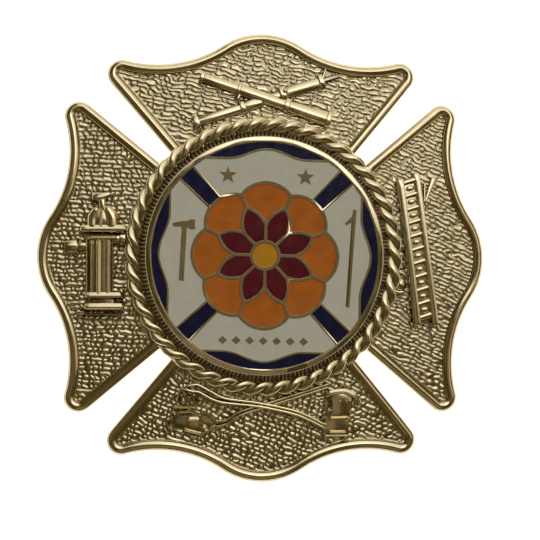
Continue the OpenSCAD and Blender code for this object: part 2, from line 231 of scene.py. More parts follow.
class ArmOutline:
    """The edge of an arm that points up: a lobe, and on each side a hollow, a corner and a slit's side."""

    def __init__(self):
        plate = settings("pin_plate")
        self.plate = plate
        self.lobe = Vector((0, plate.crest - plate.lobe_radius))
        self.lobe_end = math.pi / 2 - plate.lobe_angle
        self.hollow = self.lobe + polar(plate.lobe_radius + plate.hollow_radius, self.lobe_end)
        self.side_dir = polar(1, math.pi / 4 + plate.slit_angle)
        self.side_in = polar(1, 3 * math.pi / 4 + plate.slit_angle)
        self.side_start = polar(plate.slit_start, math.pi / 4) + polar(plate.slit_width, 3 * math.pi / 4)
        line = self.side_start + self.side_in * plate.tip_radius - self.hollow
        along = -line.dot(self.side_dir)
        span = (plate.hollow_radius + plate.tip_radius) ** 2
        reach = along - math.sqrt(along ** 2 - line.dot(line) + span)
        self.tip = self.hollow + line + self.side_dir * reach

    def side_point(self, inset, radius):
        """Where the side, moved inwards by inset, crosses a circle round the badge's centre."""
        start = self.side_start + self.side_in * inset
        along = start.dot(self.side_dir)
        return start + self.side_dir * (-along + math.sqrt(along ** 2 - start.dot(start) + radius ** 2))

    def edge(self, inset, steps=EDGE_STEPS):
        """The edge at an inset, from the left side's foot over the lobe to the right side's foot."""
        plate = self.plate
        half = arc(self.lobe, plate.lobe_radius - inset, math.pi / 2, self.lobe_end, steps[0])
        half += arc(self.hollow, plate.hollow_radius + inset,
                    heading(self.lobe - self.hollow), heading(self.tip - self.hollow), steps[1])
        half += arc(self.tip, plate.tip_radius - inset,
                    heading(self.hollow - self.tip), heading(-self.side_in), steps[2])
        corner = self.tip - self.side_in * (plate.tip_radius - inset)
        foot = self.side_point(inset, plate.hub_radius)
        half += [corner.lerp(foot, i / steps[3]) for i in range(steps[3] + 1)]
        return [Vector((-p.x, p.y)) for p in reversed(half[1:])] + half

    def hub_arc(self, inset, radius):
        """Points of the hub's circle, one for each point of the edge, between the edge's two feet."""
        count = len(self.edge(inset))
        right = heading(self.side_point(inset, radius))
        left = math.pi - right
        return [polar(radius, left + (right - left) * i / (count - 1)) for i in range(count)]


# Meshes

# Distance under which two points of a mesh are one
DOUBLES = 0.002 * MM


class Shell:
    """Points and faces gathered from several surfaces, made into one mesh at the end."""

    def __init__(self):
        self.points = []
        self.faces = []

    def grid(self, rows, closed=False):
        """A surface of quads between rows of equally many points."""
        start = len(self.points)
        width = len(rows[0])
        for row in rows:
            self.points.extend(row)
        last = width if closed else width - 1
        for j in range(len(rows) - 1):
            for i in range(last):
                a = start + j * width + i
                b = start + j * width + (i + 1) % width
                self.faces.append((a, b, b + width, a + width))

    def cap(self, ring):
        """A face that closes a ring of points."""
        start = len(self.points)
        self.points.extend(ring)
        self.faces.append(tuple(range(start, start + len(ring))))

    def tube(self, rings):
        """Rings of points joined and closed at both ends."""
        self.grid(rings, closed=True)
        self.cap(rings[0])
        self.cap(rings[-1])

    def mesh(self, name, sharp):
        """The finished mesh."""
        mesh = bpy.data.meshes.new(name)
        mesh.from_pydata([tuple(p) for p in self.points], [], self.faces)
        return finish_mesh(mesh, sharp)


@contextmanager
def edited(mesh):
    """A mesh opened for editing, and written back at the end."""
    work = bmesh.new()
    work.from_mesh(mesh)
    yield work
    work.to_mesh(mesh)
    work.free()


def finish_mesh(mesh, sharp=35):
    """Merge a mesh's doubles, turn its faces outwards and shade it smooth but for its sharp edges."""
    with edited(mesh) as work:
        bmesh.ops.remove_doubles(work, verts=work.verts, dist=DOUBLES)
        bmesh.ops.recalc_face_normals(work, faces=work.faces)
    mesh.shade_smooth()
    mesh.set_sharp_from_angle(angle=math.radians(sharp))
    return mesh


def add_piece(name, mesh, finish, slot, *nodes):
    """Put a finished mesh in the scene as a piece of the object."""
    if not mesh.polygons:
        raise RuntimeError(name + " has no faces")
    piece = new_object(name, mesh)
    mesh.materials.clear()
    mesh.materials.append(finish_of(finish))
    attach(piece, "root")
    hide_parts(*nodes)


# Node trees

def add_node(tree, kind, inputs=(), **choices):
    """Add a node with its settings. Inputs take values, sockets, or other nodes' first output in use."""
    node = tree.nodes.new(kind)
    for name, value in choices.items():
        setattr(node, name, value)
    for socket, value in inputs.items() if isinstance(inputs, dict) else enumerate(inputs):
        if isinstance(value, bpy.types.Node):
            value = next(output for output in value.outputs if output.enabled)
        if isinstance(value, bpy.types.NodeSocket):
            tree.links.new(value, node.inputs[socket])
        else:
            node.inputs[socket].default_value = value
    return node


def shape_tree(name, inputs):
    """A Geometry Nodes tree with named inputs, what adds its nodes, and the sockets of its inputs."""
    tree = bpy.data.node_groups.new(name, "GeometryNodeTree")
    tree.is_modifier = True
    tree.interface.new_socket("Geometry", in_out="INPUT", socket_type="NodeSocketGeometry")
    for label, kind in {**inputs, "Material": "Material"}.items():
        tree.interface.new_socket(label, in_out="INPUT", socket_type="NodeSocket" + kind)
    tree.interface.new_socket("Geometry", in_out="OUTPUT", socket_type="NodeSocketGeometry")
    return tree, partial(add_node, tree), tree.nodes.new("NodeGroupInput").outputs


def close_tree(tree, geometry, material):
    """End a tree in Realize Instances and Set Material."""
    real = add_node(tree, "GeometryNodeRealizeInstances", {"Geometry": geometry})
    dressed = add_node(tree, "GeometryNodeSetMaterial", {"Geometry": real, "Material": material})
    add_node(tree, "NodeGroupOutput", (dressed,))
    return tree


def grown_mesh(name, tree, finish, values, carrier=None):
    """Run a tree on a carrier mesh, or on an empty one, and keep the result as a plain mesh."""
    values["Material"] = finish_of(finish)
    if carrier is None:
        carrier = bpy.data.meshes.new(name)
    maker = new_object(name, carrier)
    modifier = maker.modifiers.new("Shape", "NODES")
    modifier.node_group = tree
    for item in tree.interface.items_tree:
        if item.item_type == "SOCKET" and item.in_out == "INPUT" and item.name in values:
            modifier[item.identifier] = values[item.name]
    bpy.context.view_layer.update()
    mesh = bpy.data.meshes.new_from_object(maker.evaluated_get(bpy.context.evaluated_depsgraph_get()))
    maker.modifiers.remove(modifier)
    bpy.data.objects.remove(maker)
    return mesh


# Finishes, with the scale of each pattern as its cells in a millimetre

# On the metal: stains about 2 mm wide, patches of gloss about 0.7 mm wide, and the grain of the struck face,
# which is drawn about 0.1 mm wide, coarser than it is, so that it shows
STAIN_SCALE = 0.45
PATCH_SCALE = 1.4
GRAIN_SCALE = 11.0
# In the enamel: clouds of its colour about 1.6 mm wide, and waves of its ground face about 1.2 mm wide
CLOUD_SCALE = 0.62
WAVE_SCALE = 0.8
# In the floor's card: clouds about 18 mm wide
CARD_SCALE = 0.055


def rgba(values):
    return (*values, 1)


def new_finish(name):
    """A material with an empty tree, what adds its nodes, and its Object coordinates in millimetres."""
    finish = bpy.data.materials.new(name)
    finish.use_nodes = True
    finish.node_tree.nodes.clear()
    add = partial(add_node, finish.node_tree)
    place = add("ShaderNodeTexCoord").outputs["Object"]
    return finish, add, add("ShaderNodeVectorMath", {0: place, "Scale": 1 / MM}, operation="SCALE")


def brass_finish(name, darkest, rough, worn, scratch=0.12):
    """Brass plated with gold: bright on its high places, dark where a piece marks recess, as brown oxide and
    painted shade in its hollows.
    """
    colours = settings("pin_colours")
    finish, add, place = new_finish(name)
    cloud = add("ShaderNodeTexNoise", {"Vector": place, "Scale": STAIN_SCALE, "Detail": 3.0})
    stain = add("ShaderNodeMapRange", (cloud, 0.35, 0.7, 0.0, worn))
    recess = add("ShaderNodeAttribute", attribute_name="recess").outputs["Fac"]
    # How much brown oxide and painted shade a piece's recess asks for
    oxide_and_shade = add("ShaderNodeMath", (recess, darkest), operation="MULTIPLY")
    dark = add("ShaderNodeMath", (oxide_and_shade, stain), operation="MAXIMUM")
    gold, patina_and_shade = rgba(colours.gold), rgba(colours.patina_and_shade)
    metal = add("ShaderNodeMix", {0: dark, 6: gold, 7: patina_and_shade}, data_type="RGBA")
    patch = add("ShaderNodeTexNoise", {"Vector": place, "Scale": PATCH_SCALE, "Detail": 3.0})
    gloss = add("ShaderNodeMapRange", (patch, 0.3, 0.75, rough, rough + 0.08))
    grain = add("ShaderNodeTexNoise", {"Vector": place, "Scale": GRAIN_SCALE, "Detail": 3.0})
    bump = add("ShaderNodeBump", {"Height": grain, "Strength": scratch, "Distance": 0.02 * MM})
    shader = add("ShaderNodeBsdfPrincipled", {
        "Base Color": metal, "Metallic": 1, "Roughness": gloss, "Normal": bump})
    add("ShaderNodeOutputMaterial", (shader,))
    return finish


def enamel_finish(name, base, variation):
    """Hard glossy enamel, ground level with its metal lines, with a faint waviness and clouding."""
    finish, add, place = new_finish(name)
    darker = [c * (1 - variation) for c in base]
    cloud = add("ShaderNodeTexNoise", {"Vector": place, "Scale": CLOUD_SCALE, "Detail": 3.0})
    share = add("ShaderNodeMapRange", (cloud, 0.3, 0.7))
    tint = add("ShaderNodeMix", {0: share, 6: rgba(base), 7: rgba(darker)}, data_type="RGBA")
    wave = add("ShaderNodeTexNoise", {"Vector": place, "Scale": WAVE_SCALE, "Detail": 0.0})
    gloss = add("ShaderNodeMapRange", (wave, 0.3, 0.7, 0.16, 0.28))
    bump = add("ShaderNodeBump", {"Height": wave, "Strength": 0.15, "Distance": 0.03 * MM})
    shader = add("ShaderNodeBsdfPrincipled", {
        "Base Color": tint, "Roughness": gloss, "Normal": bump, "IOR": 1.5, "Specular IOR Level": 0.25,
        "Coat Weight": 0.2, "Coat Roughness": 0.06})
    add("ShaderNodeOutputMaterial", (shader,))
    return finish


def floor_finish():
    """A pale card, lit a little from within so that it reads near white."""
    pale = settings("pin_colours").floor
    finish, add, place = new_finish("pale matt card")
    cloud = add("ShaderNodeTexNoise", {"Vector": place, "Scale": CARD_SCALE})
    darker = [c * 0.97 for c in pale]
    tint = add("ShaderNodeMix", {0: cloud, 6: rgba(pale), 7: rgba(darker)}, data_type="RGBA")
    shader = add("ShaderNodeBsdfPrincipled", {
        "Base Color": tint, "Roughness": 0.9, "Emission Color": rgba(pale), "Emission Strength": 0.95})
    add("ShaderNodeOutputMaterial", (shader,))
    return finish


FINISHES = {
    # Struck and plated: crisp high lights, soft between them; oxide and painted shade at the feet of the rims
    # and figures, and painted shade on the figures' steep sides
    "struck": lambda: brass_finish("struck gold-plated brass", 0.94, 0.15, 0.12),
    # The pebbled ground: oxide and painted shade lie in its deepest furrows and along the foot of the rim
    "ground": lambda: brass_finish("matted gold-plated brass", 0.6, 0.24, 0.12),
    # Drawn and twisted wire: smoother than the struck plate, with oxide and painted shade in the grooves
    # between its strands
    "rope": lambda: brass_finish("twisted gold-plated wire", 0.66, 0.19, 0.1),
    # The reeded wall under the seal's edge: darkened all over as a painted shadow of the rope and the seal's
    # edge, rough and stained
    "reeding": lambda: brass_finish("shadow-painted gold-plated brass", 0.7, 0.36, 0.3),
    # The seal's lines, ground and polished flat
    "polished": lambda: brass_finish("polished gold-plated brass", 0.4, 0.06, 0.2, 0.03),
    # The pin at the back: drawn brass, duller
    "pin": lambda: brass_finish("drawn brass", 0.4, 0.26, 0.15),
    # The enamels, ground flush and polished: glossy, each a little uneven in its colour
    "blue": lambda: enamel_finish("dark blue hard enamel", settings("pin_colours").blue, 0.25),
    "white": lambda: enamel_finish("white hard enamel", settings("pin_colours").white, 0.06),
    "orange": lambda: enamel_finish("orange hard enamel", settings("pin_colours").orange, 0.22),
    "red": lambda: enamel_finish("deep red hard enamel", settings("pin_colours").red, 0.25),
    "amber": lambda: enamel_finish("amber hard enamel", settings("pin_colours").amber, 0.15),
}
made_finishes = {}


def finish_of(name):
    """A finish by its name, made when it is first asked for."""
    if name not in made_finishes:
        made_finishes[name] = FINISHES[name]()
    return made_finishes[name]


# The struck plate, with insets from its outline, heights over its back and radii in millimetres

# The rim's section from the ground's edge outwards, as inset and height
STEP_FOOT = ((1.42, 0.9), (1.36, 1.1))
# The thin ridge beside the ground, and the bead: middle, half width, foot, rise, roundness and steps
BEADS = ((1.22, 0.11, 1.22, 0.17, 1.6, 6), (0.64, 0.47, 1.36, 0.22, 1.7, 16))
SHOULDER = ((0.12, 1.31), (0.075, 1.24), (0.04, 1.15), (0.015, 1.04), (0.0, 0.9))
WALL_FOOT = ((0.0, 0.12), (0.045, 0.035), (0.15, 0.0))
# Rows of points between the hub's circle and an arm's edge
BLEND_ROWS = 5
# The hub: width of the slope inside its circle, and radii of the seat's wall at its top and foot
HUB_SLOPE = 0.1
SEAT_TOP = 15.73
SEAT_FOOT = 15.69
# Circles of the back inside the hub, as shares of its radius
BACK_CIRCLES = (0.8, 0.55, 0.3, 0)
# Heights against the ground from which to which a struck piece's oxide and painted shade thin out
PLATE_OXIDE_AND_SHADE = (0.0, 0.3)
FIGURE_OXIDE_AND_SHADE = (0.16, 0.46)


def rim_section():
    """The rim's section from the ground to the top of its outer wall."""
    rows = list(STEP_FOOT)
    for middle, half, foot, rise, roundness, steps in BEADS:
        for i in range(steps + 1):
            across = 1 - 2 * i / steps
            rows.append((middle + half * across, foot + rise * (1 - abs(across) ** roundness)))
    return rows + list(SHOULDER)


def plate_mesh():
    """The whole cross as one closed mesh: its rims, its ground's floor, its walls, back and hub."""
    plate = settings("pin_plate")
    outline = ArmOutline()
    shell = Shell()
    top_section = rim_section()
    wall_section = [top_section[-1]] + list(WALL_FOOT)

    def ring(quarters, inset, height):
        return [on_dome(turned(p, quarters), height * MM) for p in outline.edge(inset * MM)]

    def blends(quarters, inset, height):
        """Rows from the hub's circle out to the edge at an inset."""
        edge = outline.edge(inset * MM)
        hub = outline.hub_arc(inset * MM, plate.hub_radius)
        rows = []
        for j in range(BLEND_ROWS + 1):
            row = [h.lerp(e, j / BLEND_ROWS) for h, e in zip(hub, edge)]
            rows.append([on_dome(turned(p, quarters), height * MM) for p in row])
        return rows

    arms = []
    for quarters in ARMS.values():
        arms.append((blends(quarters, *STEP_FOOT[0]), [ring(quarters, *row) for row in top_section],
                     [ring(quarters, *row) for row in wall_section], blends(quarters, *WALL_FOOT[-1])))
        for rows in arms[-1]:
            shell.grid(rows)

    top_ring = []
    back_ring = []
    for (floor, top, wall, back), (_, next_top, next_wall, _) in zip(arms, arms[1:] + arms[:1]):
        top_ring += floor[0] + [row[-1] for row in top[1:]] + [row[0] for row in reversed(next_top[1:])]
        back_ring += back[0]
        shell.grid([[row[-1] for row in wall], [row[0] for row in next_wall]])

    def hub_ring(source, radius, height):
        return [on_dome(polar(radius, heading(p)), height) for p in source]

    seat = [Vector((*polar(SEAT_FOOT * MM, heading(p)), plate.seat_height)) for p in top_ring]
    middle = [Vector((0, 0, plate.seat_height))] * len(top_ring)
    shell.grid([top_ring,
                hub_ring(top_ring, plate.hub_radius - HUB_SLOPE * MM, plate.rim_height),
                hub_ring(top_ring, SEAT_TOP * MM, plate.rim_height), seat, middle], closed=True)
    circles = [hub_ring(back_ring, plate.hub_radius * share, 0) for share in BACK_CIRCLES]
    shell.grid([back_ring] + circles, closed=True)
    # The rim's foot beside the ground is darkened as oxide and painted shade
    return mark_recess(shell.mesh("plate_body", 40), *PLATE_OXIDE_AND_SHADE)


class PIN_OT_plate(bpy.types.Operator):
    """Make the cross with its beaded rims"""

    bl_idname = "pin.plate"
    bl_label = "Struck Plate"

    def execute(self, context):
        add_piece("plate_body", plate_mesh(), "struck", "struck_brass", "cross_plate")
        return {"FINISHED"}


# The pebbled ground

# Each arm's pebbles: direction of their rows in degrees, length and width in mm, the share that join, and
# the share of the warp that their rows take
GRAINS = {
    "top": (-13, 0.84, 0.56, 0.4, 1.0),
    "right": (-24, 0.86, 0.52, 0.45, 0.8),
    "bottom": (-24, 0.74, 0.6, 0.1, 0.8),
    "left": (-2, 0.74, 0.58, 0.16, 0.55),
}
# Distance inside the outline at which the ground ends, under the rim, and thickness of its slab, in mm
GROUND_EDGE = 0.3
GROUND_DEPTH = 0.35
# Distances inside the outline between which the furrows deepen, away from the rim, in mm
MARGIN_FROM = 1.32
MARGIN_TO = 1.5
# An arm's half width and the height where its squares start, and how far they reach under the hub, in mm
ARM_HALF_WIDTH = 21
ARM_FOOT = 12.5
HUB_COVER = 0.8
# The same steps in the edge from which a square's distance to the outline is taken
FINE_STEPS = (120, 140, 50, 130)
# Noise in the ground, as its cells in a millimetre: how its rows wander, how uneven its pebbles are, and
# where its furrows fill up
WANDER_SCALE = 0.36
RIPPLE_SCALE = 1.15
FILL_SCALE = 0.9
# Squares along each side of a block of the ground's underside
BLOCK = 28


def grain_tree():
    """Press furrows into the ground: wandering rows of long pebbles, some of them joined end to end."""
    tree, add, given = shape_tree("Pebbled ground", {
        "Turn": "Float", "Length": "Float", "Width": "Float", "Joining": "Float",
        "Warp": "Float", "Ripple": "Float", "Depth": "Float"})
    here = add("GeometryNodeInputPosition")
    place = add("ShaderNodeVectorMath", {0: here, "Scale": 1 / MM}, operation="SCALE")
    wander = add("ShaderNodeTexNoise", {
        "Vector": place, "Scale": WANDER_SCALE, "Detail": 2.0, "Roughness": 0.6})
    centred = add("ShaderNodeVectorMath", (wander.outputs[1], (0.5, 0.5, 0.5)), operation="SUBTRACT")
    pushed = add("ShaderNodeVectorMath", {0: centred, "Scale": given["Warp"]}, operation="SCALE")
    drifted = add("ShaderNodeVectorMath", (place, pushed), operation="ADD")
    ripple = add("ShaderNodeTexNoise", {"Vector": place, "Scale": RIPPLE_SCALE, "Detail": 0.0})
    rippled = add("ShaderNodeVectorMath", {0: ripple.outputs[1], "Scale": given["Ripple"]},
                  operation="SCALE")
    moved = add("ShaderNodeVectorMath", (drifted, rippled), operation="ADD")
    aligned = add("ShaderNodeVectorRotate", {"Vector": moved, "Angle": given["Turn"]},
                  rotation_type="Z_AXIS")
    parts = add("ShaderNodeSeparateXYZ", (aligned,))

    # Across the rows: 1 in a furrow, 0 on a crest
    lane = add("ShaderNodeMath", (parts.outputs[1], given["Width"]), operation="DIVIDE")
    row = add("ShaderNodeMath", (lane,), operation="FLOOR")
    beat = add("ShaderNodeMath", (lane, 0.5), operation="PINGPONG")
    across = add("ShaderNodeMapRange", (beat, 0.0, 0.5, 1.0, 0.0))
    bridge = add("ShaderNodeTexNoise", {"Vector": aligned, "Scale": FILL_SCALE, "Detail": 0.0})
    filled = add("ShaderNodeMapRange", (bridge, 0.34, 0.5, 0.76, 1.04))
    beside = add("ShaderNodeMath", (across, filled), operation="MULTIPLY")

    # Along each row: 1 at a gap between pebbles, 0 in the middle of one
    pace = add("ShaderNodeMath", (parts.outputs[0], given["Length"]), operation="DIVIDE")
    start = add("ShaderNodeTexWhiteNoise", {"W": row}, noise_dimensions="1D")
    slant = add("ShaderNodeMapRange", (start, 0.0, 1.0, -0.4, 0.4))
    slanted = add("ShaderNodeMath", (lane, slant, pace), operation="MULTIPLY_ADD")
    offset = add("ShaderNodeMath", (row, 0.5, slanted), operation="MULTIPLY_ADD")
    shifted = add("ShaderNodeMath", (start, 0.45, offset), operation="MULTIPLY_ADD")
    uneven = add("ShaderNodeTexNoise", {"W": shifted, "Scale": 0.8, "Detail": 0.0}, noise_dimensions="1D")
    place_in_row = add("ShaderNodeMath", (uneven, 0.9, shifted), operation="MULTIPLY_ADD")
    swing = add("ShaderNodeMath", (place_in_row, 0.5), operation="PINGPONG")
    near_gap = add("ShaderNodeMapRange", (swing, 0.0, 0.4, 1.24, 0.0))

    # Some gaps are filled, so that two pebbles join
    gap = add("ShaderNodeMath", (place_in_row,), operation="ROUND")
    spot = add("ShaderNodeCombineXYZ", (gap, row))
    chance = add("ShaderNodeTexWhiteNoise", {"Vector": spot}, noise_dimensions="2D")
    open_gap = add("ShaderNodeMath", (chance, given["Joining"]), operation="GREATER_THAN")
    strength = add("ShaderNodeMapRange", (open_gap, 0.0, 1.0, 0.15, 0.92))
    ends = add("ShaderNodeMath", (near_gap, strength), operation="MULTIPLY")
    ends_squared = add("ShaderNodeMath", (ends, ends), operation="MULTIPLY")
    squared = add("ShaderNodeMath", (beside, beside, ends_squared), operation="MULTIPLY_ADD")
    outward = add("ShaderNodeMath", (squared,), operation="SQRT")
    low = add("ShaderNodeMapRange", (outward, 0.16, 1.12), interpolation_type="SMOOTHSTEP")

    margin = add("GeometryNodeInputNamedAttribute", {"Name": "margin"})
    recess = add("ShaderNodeMath", (low, margin), operation="MULTIPLY")
    depth = add("ShaderNodeMath", (recess, given["Depth"]), operation="MULTIPLY")
    drop = add("ShaderNodeMath", (depth, -1.0), operation="MULTIPLY")
    shift = add("ShaderNodeCombineXYZ", {2: drop})
    # The deepest furrows and the ground along the rim's foot are darkened as oxide and painted shade
    furrow = add("ShaderNodeMapRange", (recess, 0.65, 1.0))
    beside_rim = add("ShaderNodeMapRange", (margin, 0.0, 0.6, 1.0, 0.0))
    dark = add("ShaderNodeMath", (furrow, beside_rim), operation="MAXIMUM")
    stored = add("GeometryNodeStoreNamedAttribute", {
        "Geometry": given["Geometry"], "Name": "recess", "Value": dark})
    shaped = add("GeometryNodeSetPosition", {"Geometry": stored, "Offset": shift})
    return close_tree(tree, shaped, given["Material"])


def ground_cells():
    """The ground of an arm that points up: the inset of each corner of its squares, and the squares."""
    plate = settings("pin_plate")
    step = settings("pin_grain").cell
    outline = ArmOutline()
    edge = outline.edge(0, FINE_STEPS)
    tree = kdtree.KDTree(len(edge))
    for i, point in enumerate(edge):
        tree.insert((point.x, point.y, 0), i)
    tree.balance()
    half = int(ARM_HALF_WIDTH * MM / step)
    first = int(ARM_FOOT * MM / step)
    last = int(plate.crest / step)
    insets = {}
    for j in range(first, last + 1):
        for i in range(-half, half + 1):
            x, y = i * step, j * step
            if x * x + y * y < (plate.hub_radius - HUB_COVER * MM) ** 2:
                continue
            near, index, distance = tree.find((x, y, 0))
            along = edge[min(index + 1, len(edge) - 1)] - edge[max(index - 1, 0)]
            inward = along.x * (y - near.y) - along.y * (x - near.x)
            if inward < 0 and distance > GROUND_EDGE * MM:
                insets[i, j] = distance
    squares = [(i, j) for i, j in insets
               if (i + 1, j) in insets and (i, j + 1) in insets and (i + 1, j + 1) in insets]
    return insets, squares


def ground_mesh(name, quarters, insets, squares):
    """The ground of one arm as a closed slab, with the margin beside the rim marked on its points."""
    step = settings("pin_grain").cell
    points = []
    margins = []
    top = {}
    bottom = {}

    def corner(key, low):
        places = bottom if low else top
        if key not in places:
            places[key] = len(points)
            point = turned((key[0] * step, key[1] * step), quarters)
            points.append(on_ground(point, -GROUND_DEPTH * MM if low else 0))
            share = (insets[key] / MM - MARGIN_FROM) / (MARGIN_TO - MARGIN_FROM)
            margins.append(0 if low else min(max(share, 0), 1))
        return places[key]

    kept = set(squares)
    faces = []
    blocks = {}
    for i, j in squares:
        onward = blocks.setdefault((i // BLOCK, j // BLOCK), {})
        loop = ((i, j), (i + 1, j), (i + 1, j + 1), (i, j + 1))
        faces.append(tuple(corner(key, False) for key in loop))
        beside = ((i, j - 1), (i + 1, j), (i, j + 1), (i - 1, j))
        for side, (x, y) in enumerate(beside):
            start, end = loop[side], loop[(side + 1) % 4]
            if (x, y) not in kept:
                faces.append((corner(end, False), corner(start, False), corner(start, True),
                              corner(end, True)))
            if (x, y) not in kept or (x // BLOCK, y // BLOCK) != (i // BLOCK, j // BLOCK):
                onward[start] = end
    for onward in blocks.values():
        while onward:
            loop = [next(iter(onward))]
            while loop[-1] in onward:
                loop.append(onward.pop(loop[-1]))
            faces.append(tuple(corner(key, True) for key in reversed(loop[1:])))
    mesh = bpy.data.meshes.new(name)
    mesh.from_pydata([tuple(p) for p in points], [], faces)
    mesh.attributes.new("margin", "FLOAT", "POINT").data.foreach_set("value", margins)
    with edited(mesh) as work:
        underside = [face for face in work.faces if len(face.verts) > 4]
        bmesh.ops.triangulate(work, faces=underside, ngon_method="BEAUTY")
    return mesh


class PIN_OT_ground(bpy.types.Operator):
    """Make the pebbled ground of the four arms"""

    bl_idname = "pin.ground"
    bl_label = "Pebbled Ground"

    def execute(self, context):
        grain = settings("pin_grain")
        tree = grain_tree()
        insets, squares = ground_cells()
        for arm, quarters in ARMS.items():
            turn, long, wide, joining, wander = GRAINS[arm]
            name = "arm_ground_" + arm
            mesh = grown_mesh(name, tree, "ground", {
                "Turn": math.radians(-turn), "Length": long, "Width": wide, "Joining": joining,
                "Warp": grain.warp * wander, "Ripple": grain.ripple, "Depth": grain.depth,
            }, ground_mesh(name, quarters, insets, squares))
            mesh.shade_smooth()
            add_piece(name, mesh, "ground", "struck_brass", "cross_plate")
        return {"FINISHED"}


# Raised figures, all in millimetres of the badge's plane, with heights over the ground

# Depth to which a figure reaches into the ground
SINK = 0.25
# Least radius of a closed end
POINT = 0.02
# Half sections across a bar, as side and rise: one with a face that leans to its left side, that of the
# ladder's rails, whose top leans to the right side, and a plain box
BAR_SECTION = ((1, 0), (1, 0.58), (1, 0.66), (0.9, 0.78), (0.0, 1), (-0.35, 0.97), (-0.65, 0.82),
               (-0.88, 0.55), (-1, 0.3), (-1, 0))
RAIL_SECTION = ((1, 0), (1, 0.72), (1, 0.8), (0.9, 0.93), (0.74, 0.98), (-0.7, 0.91), (-0.85, 0.84),
                (-1, 0.66), (-1, 0.5), (-1, 0))
BOX_SECTION = ((1, 0), (1, 1), (-1, 1), (-1, 0))
# Height against the ground under which a point belongs to the back, and how much it is darkened there
BACK_RISE = -0.6
BACK_DARKENING = 0.25
# Rise of a point's normal under which it starts to be steep, and the fall from there to where it wholly is;
# figures are darkened there as painted shade
STEEP_RISE = 0.5
STEEP_FALL = 0.3


def turned_form(shell, start, end, profile, squash, lift, sides=20):
    """A turned form that lies half sunk: rows of distance along its axis and radius."""
    start, end = Vector(start), Vector(end)
    along = (end - start).normalized()
    across = Vector((-along.y, along.x))
    rings = []
    for distance, radius in profile:
        ring = []
        for i in range(sides):
            turn = FULL_TURN * i / sides
            point = start + along * distance + across * (radius * math.cos(turn))
            ring.append(raised(point, max(lift + radius * squash * math.sin(turn), -SINK)))
        rings.append(ring)
    shell.tube(rings)


def rounded_profile(rows, edge=0.06):
    """A profile whose steps, given as (from, to, radius from, radius to), have rounded edges."""
    profile = []
    for start, end, first, last in rows:
        profile += [(start, max(first - edge, POINT)), (start + edge * 0.4, first - edge * 0.25),
                    (start + edge, first), (end - edge, last), (end - edge * 0.4, last - edge * 0.25),
                    (end, max(last - edge, POINT))]
    return profile


def round_section(boxiness, steps=10):
    """Half a section as side and rise, each as a share: round at boxiness 1, a box at 0."""
    section = []
    for k in range(steps + 1):
        side, rise = math.cos(math.pi * k / steps), math.sin(math.pi * k / steps)
        section.append((math.copysign(abs(side) ** boxiness, side), rise ** boxiness))
    return section


SOFT_SECTION = round_section(0.6)
WIRE_SECTION = round_section(0.8)
LOBE_SECTION = round_section(0.9)


def ridge(shell, path, widths, height, section=SOFT_SECTION):
    """A raised bar along a path, with round ends, and of one width or of one at each point."""
    path = [Vector(p) for p in path]
    count = len(path)
    if not hasattr(widths, "__len__"):
        widths = [widths] * count
    rows = []
    for i, point in enumerate(path):
        along = (path[min(i + 1, count - 1)] - path[max(i - 1, 0)]).normalized()
        rows.append((point, along, widths[i] / 2, height))
    for outward in (-1, 1):
        point, along, half, rise = rows[-1]
        for k in range(3, -1, -1):
            turn = math.pi / 2 * k / 4
            rows.append((point - along * (outward * half * math.cos(turn)), along,
                         max(half * math.sin(turn), POINT), rise * max(math.sin(turn), 0.05) ** 0.5))
        rows.reverse()
    rings = []
    for point, along, half, rise in rows:
        across = Vector((-along.y, along.x))
        ring = [raised(point + across * half * side, rise * lift) for side, lift in section]
        ring += [raised(point - across * half, -SINK), raised(point + across * half, -SINK)]
        rings.append(ring)
    shell.tube(rings)


def knob(shell, centre, radius, height, sides=20, levels=6):
    """A rounded button."""
    rows = [(radius, -SINK)]
    for j in range(levels + 1):
        turn = math.pi / 2 * j / levels
        rows.append((max(radius * math.cos(turn), POINT), height * math.sin(turn)))
    shell.tube([[raised(Vector(centre) + polar(reach, FULL_TURN * i / sides), rise) for i in range(sides)]
                for reach, rise in rows])


def slab(shell, outline, height, bevel):
    """A flat figure with its upper edges rounded off."""
    outline = [Vector(p) for p in outline]
    area = sum(a.x * b.y - b.x * a.y for a, b in zip(outline, outline[1:] + outline[:1]))
    if area < 0:
        outline.reverse()
    inward = []
    for before, point, after in zip(outline[-1:] + outline, outline, outline[1:] + outline[:1]):
        into = (point - before).normalized()
        onward = (after - point).normalized()
        normal = Vector((-into.y - onward.y, into.x + onward.x)).normalized()
        inward.append(normal / max(normal.dot(Vector((-into.y, into.x))), 0.4))
    levels = ((0, -SINK), (0, height - bevel), (bevel * 0.3, height - bevel * 0.3), (bevel, height))
    shell.tube([[raised(p + n * inset, level) for p, n in zip(outline, inward)] for inset, level in levels])


def smooth_path(points, steps=6):
    """A smooth path through points."""
    points = [Vector(p) for p in points]
    padded = [points[0] * 2 - points[1]] + points + [points[-1] * 2 - points[-2]]
    path = []
    for a, b, c, d in zip(padded, padded[1:], padded[2:], padded[3:]):
        for i in range(steps):
            t = i / steps
            path.append(b + (c - a) * t * 0.5 + (a * 2 - b * 5 + c * 4 - d) * t * t * 0.5
                        + (b * 3 - a - c * 3 + d) * t * t * t * 0.5)
    return path + [points[-1]]


def smooth_ridges(shell, rows, section=SOFT_SECTION):
    """Raised bars along smooth paths, given as points, width and rise."""
    for points, widths, rise in rows:
        ridge(shell, smooth_path(points), widths, rise, section)


def straight_path(start, end, steps):
    """Points along a straight line, so that what is made on them follows the dome."""
    return [Vector(start).lerp(Vector(end), i / steps) for i in range(steps + 1)]


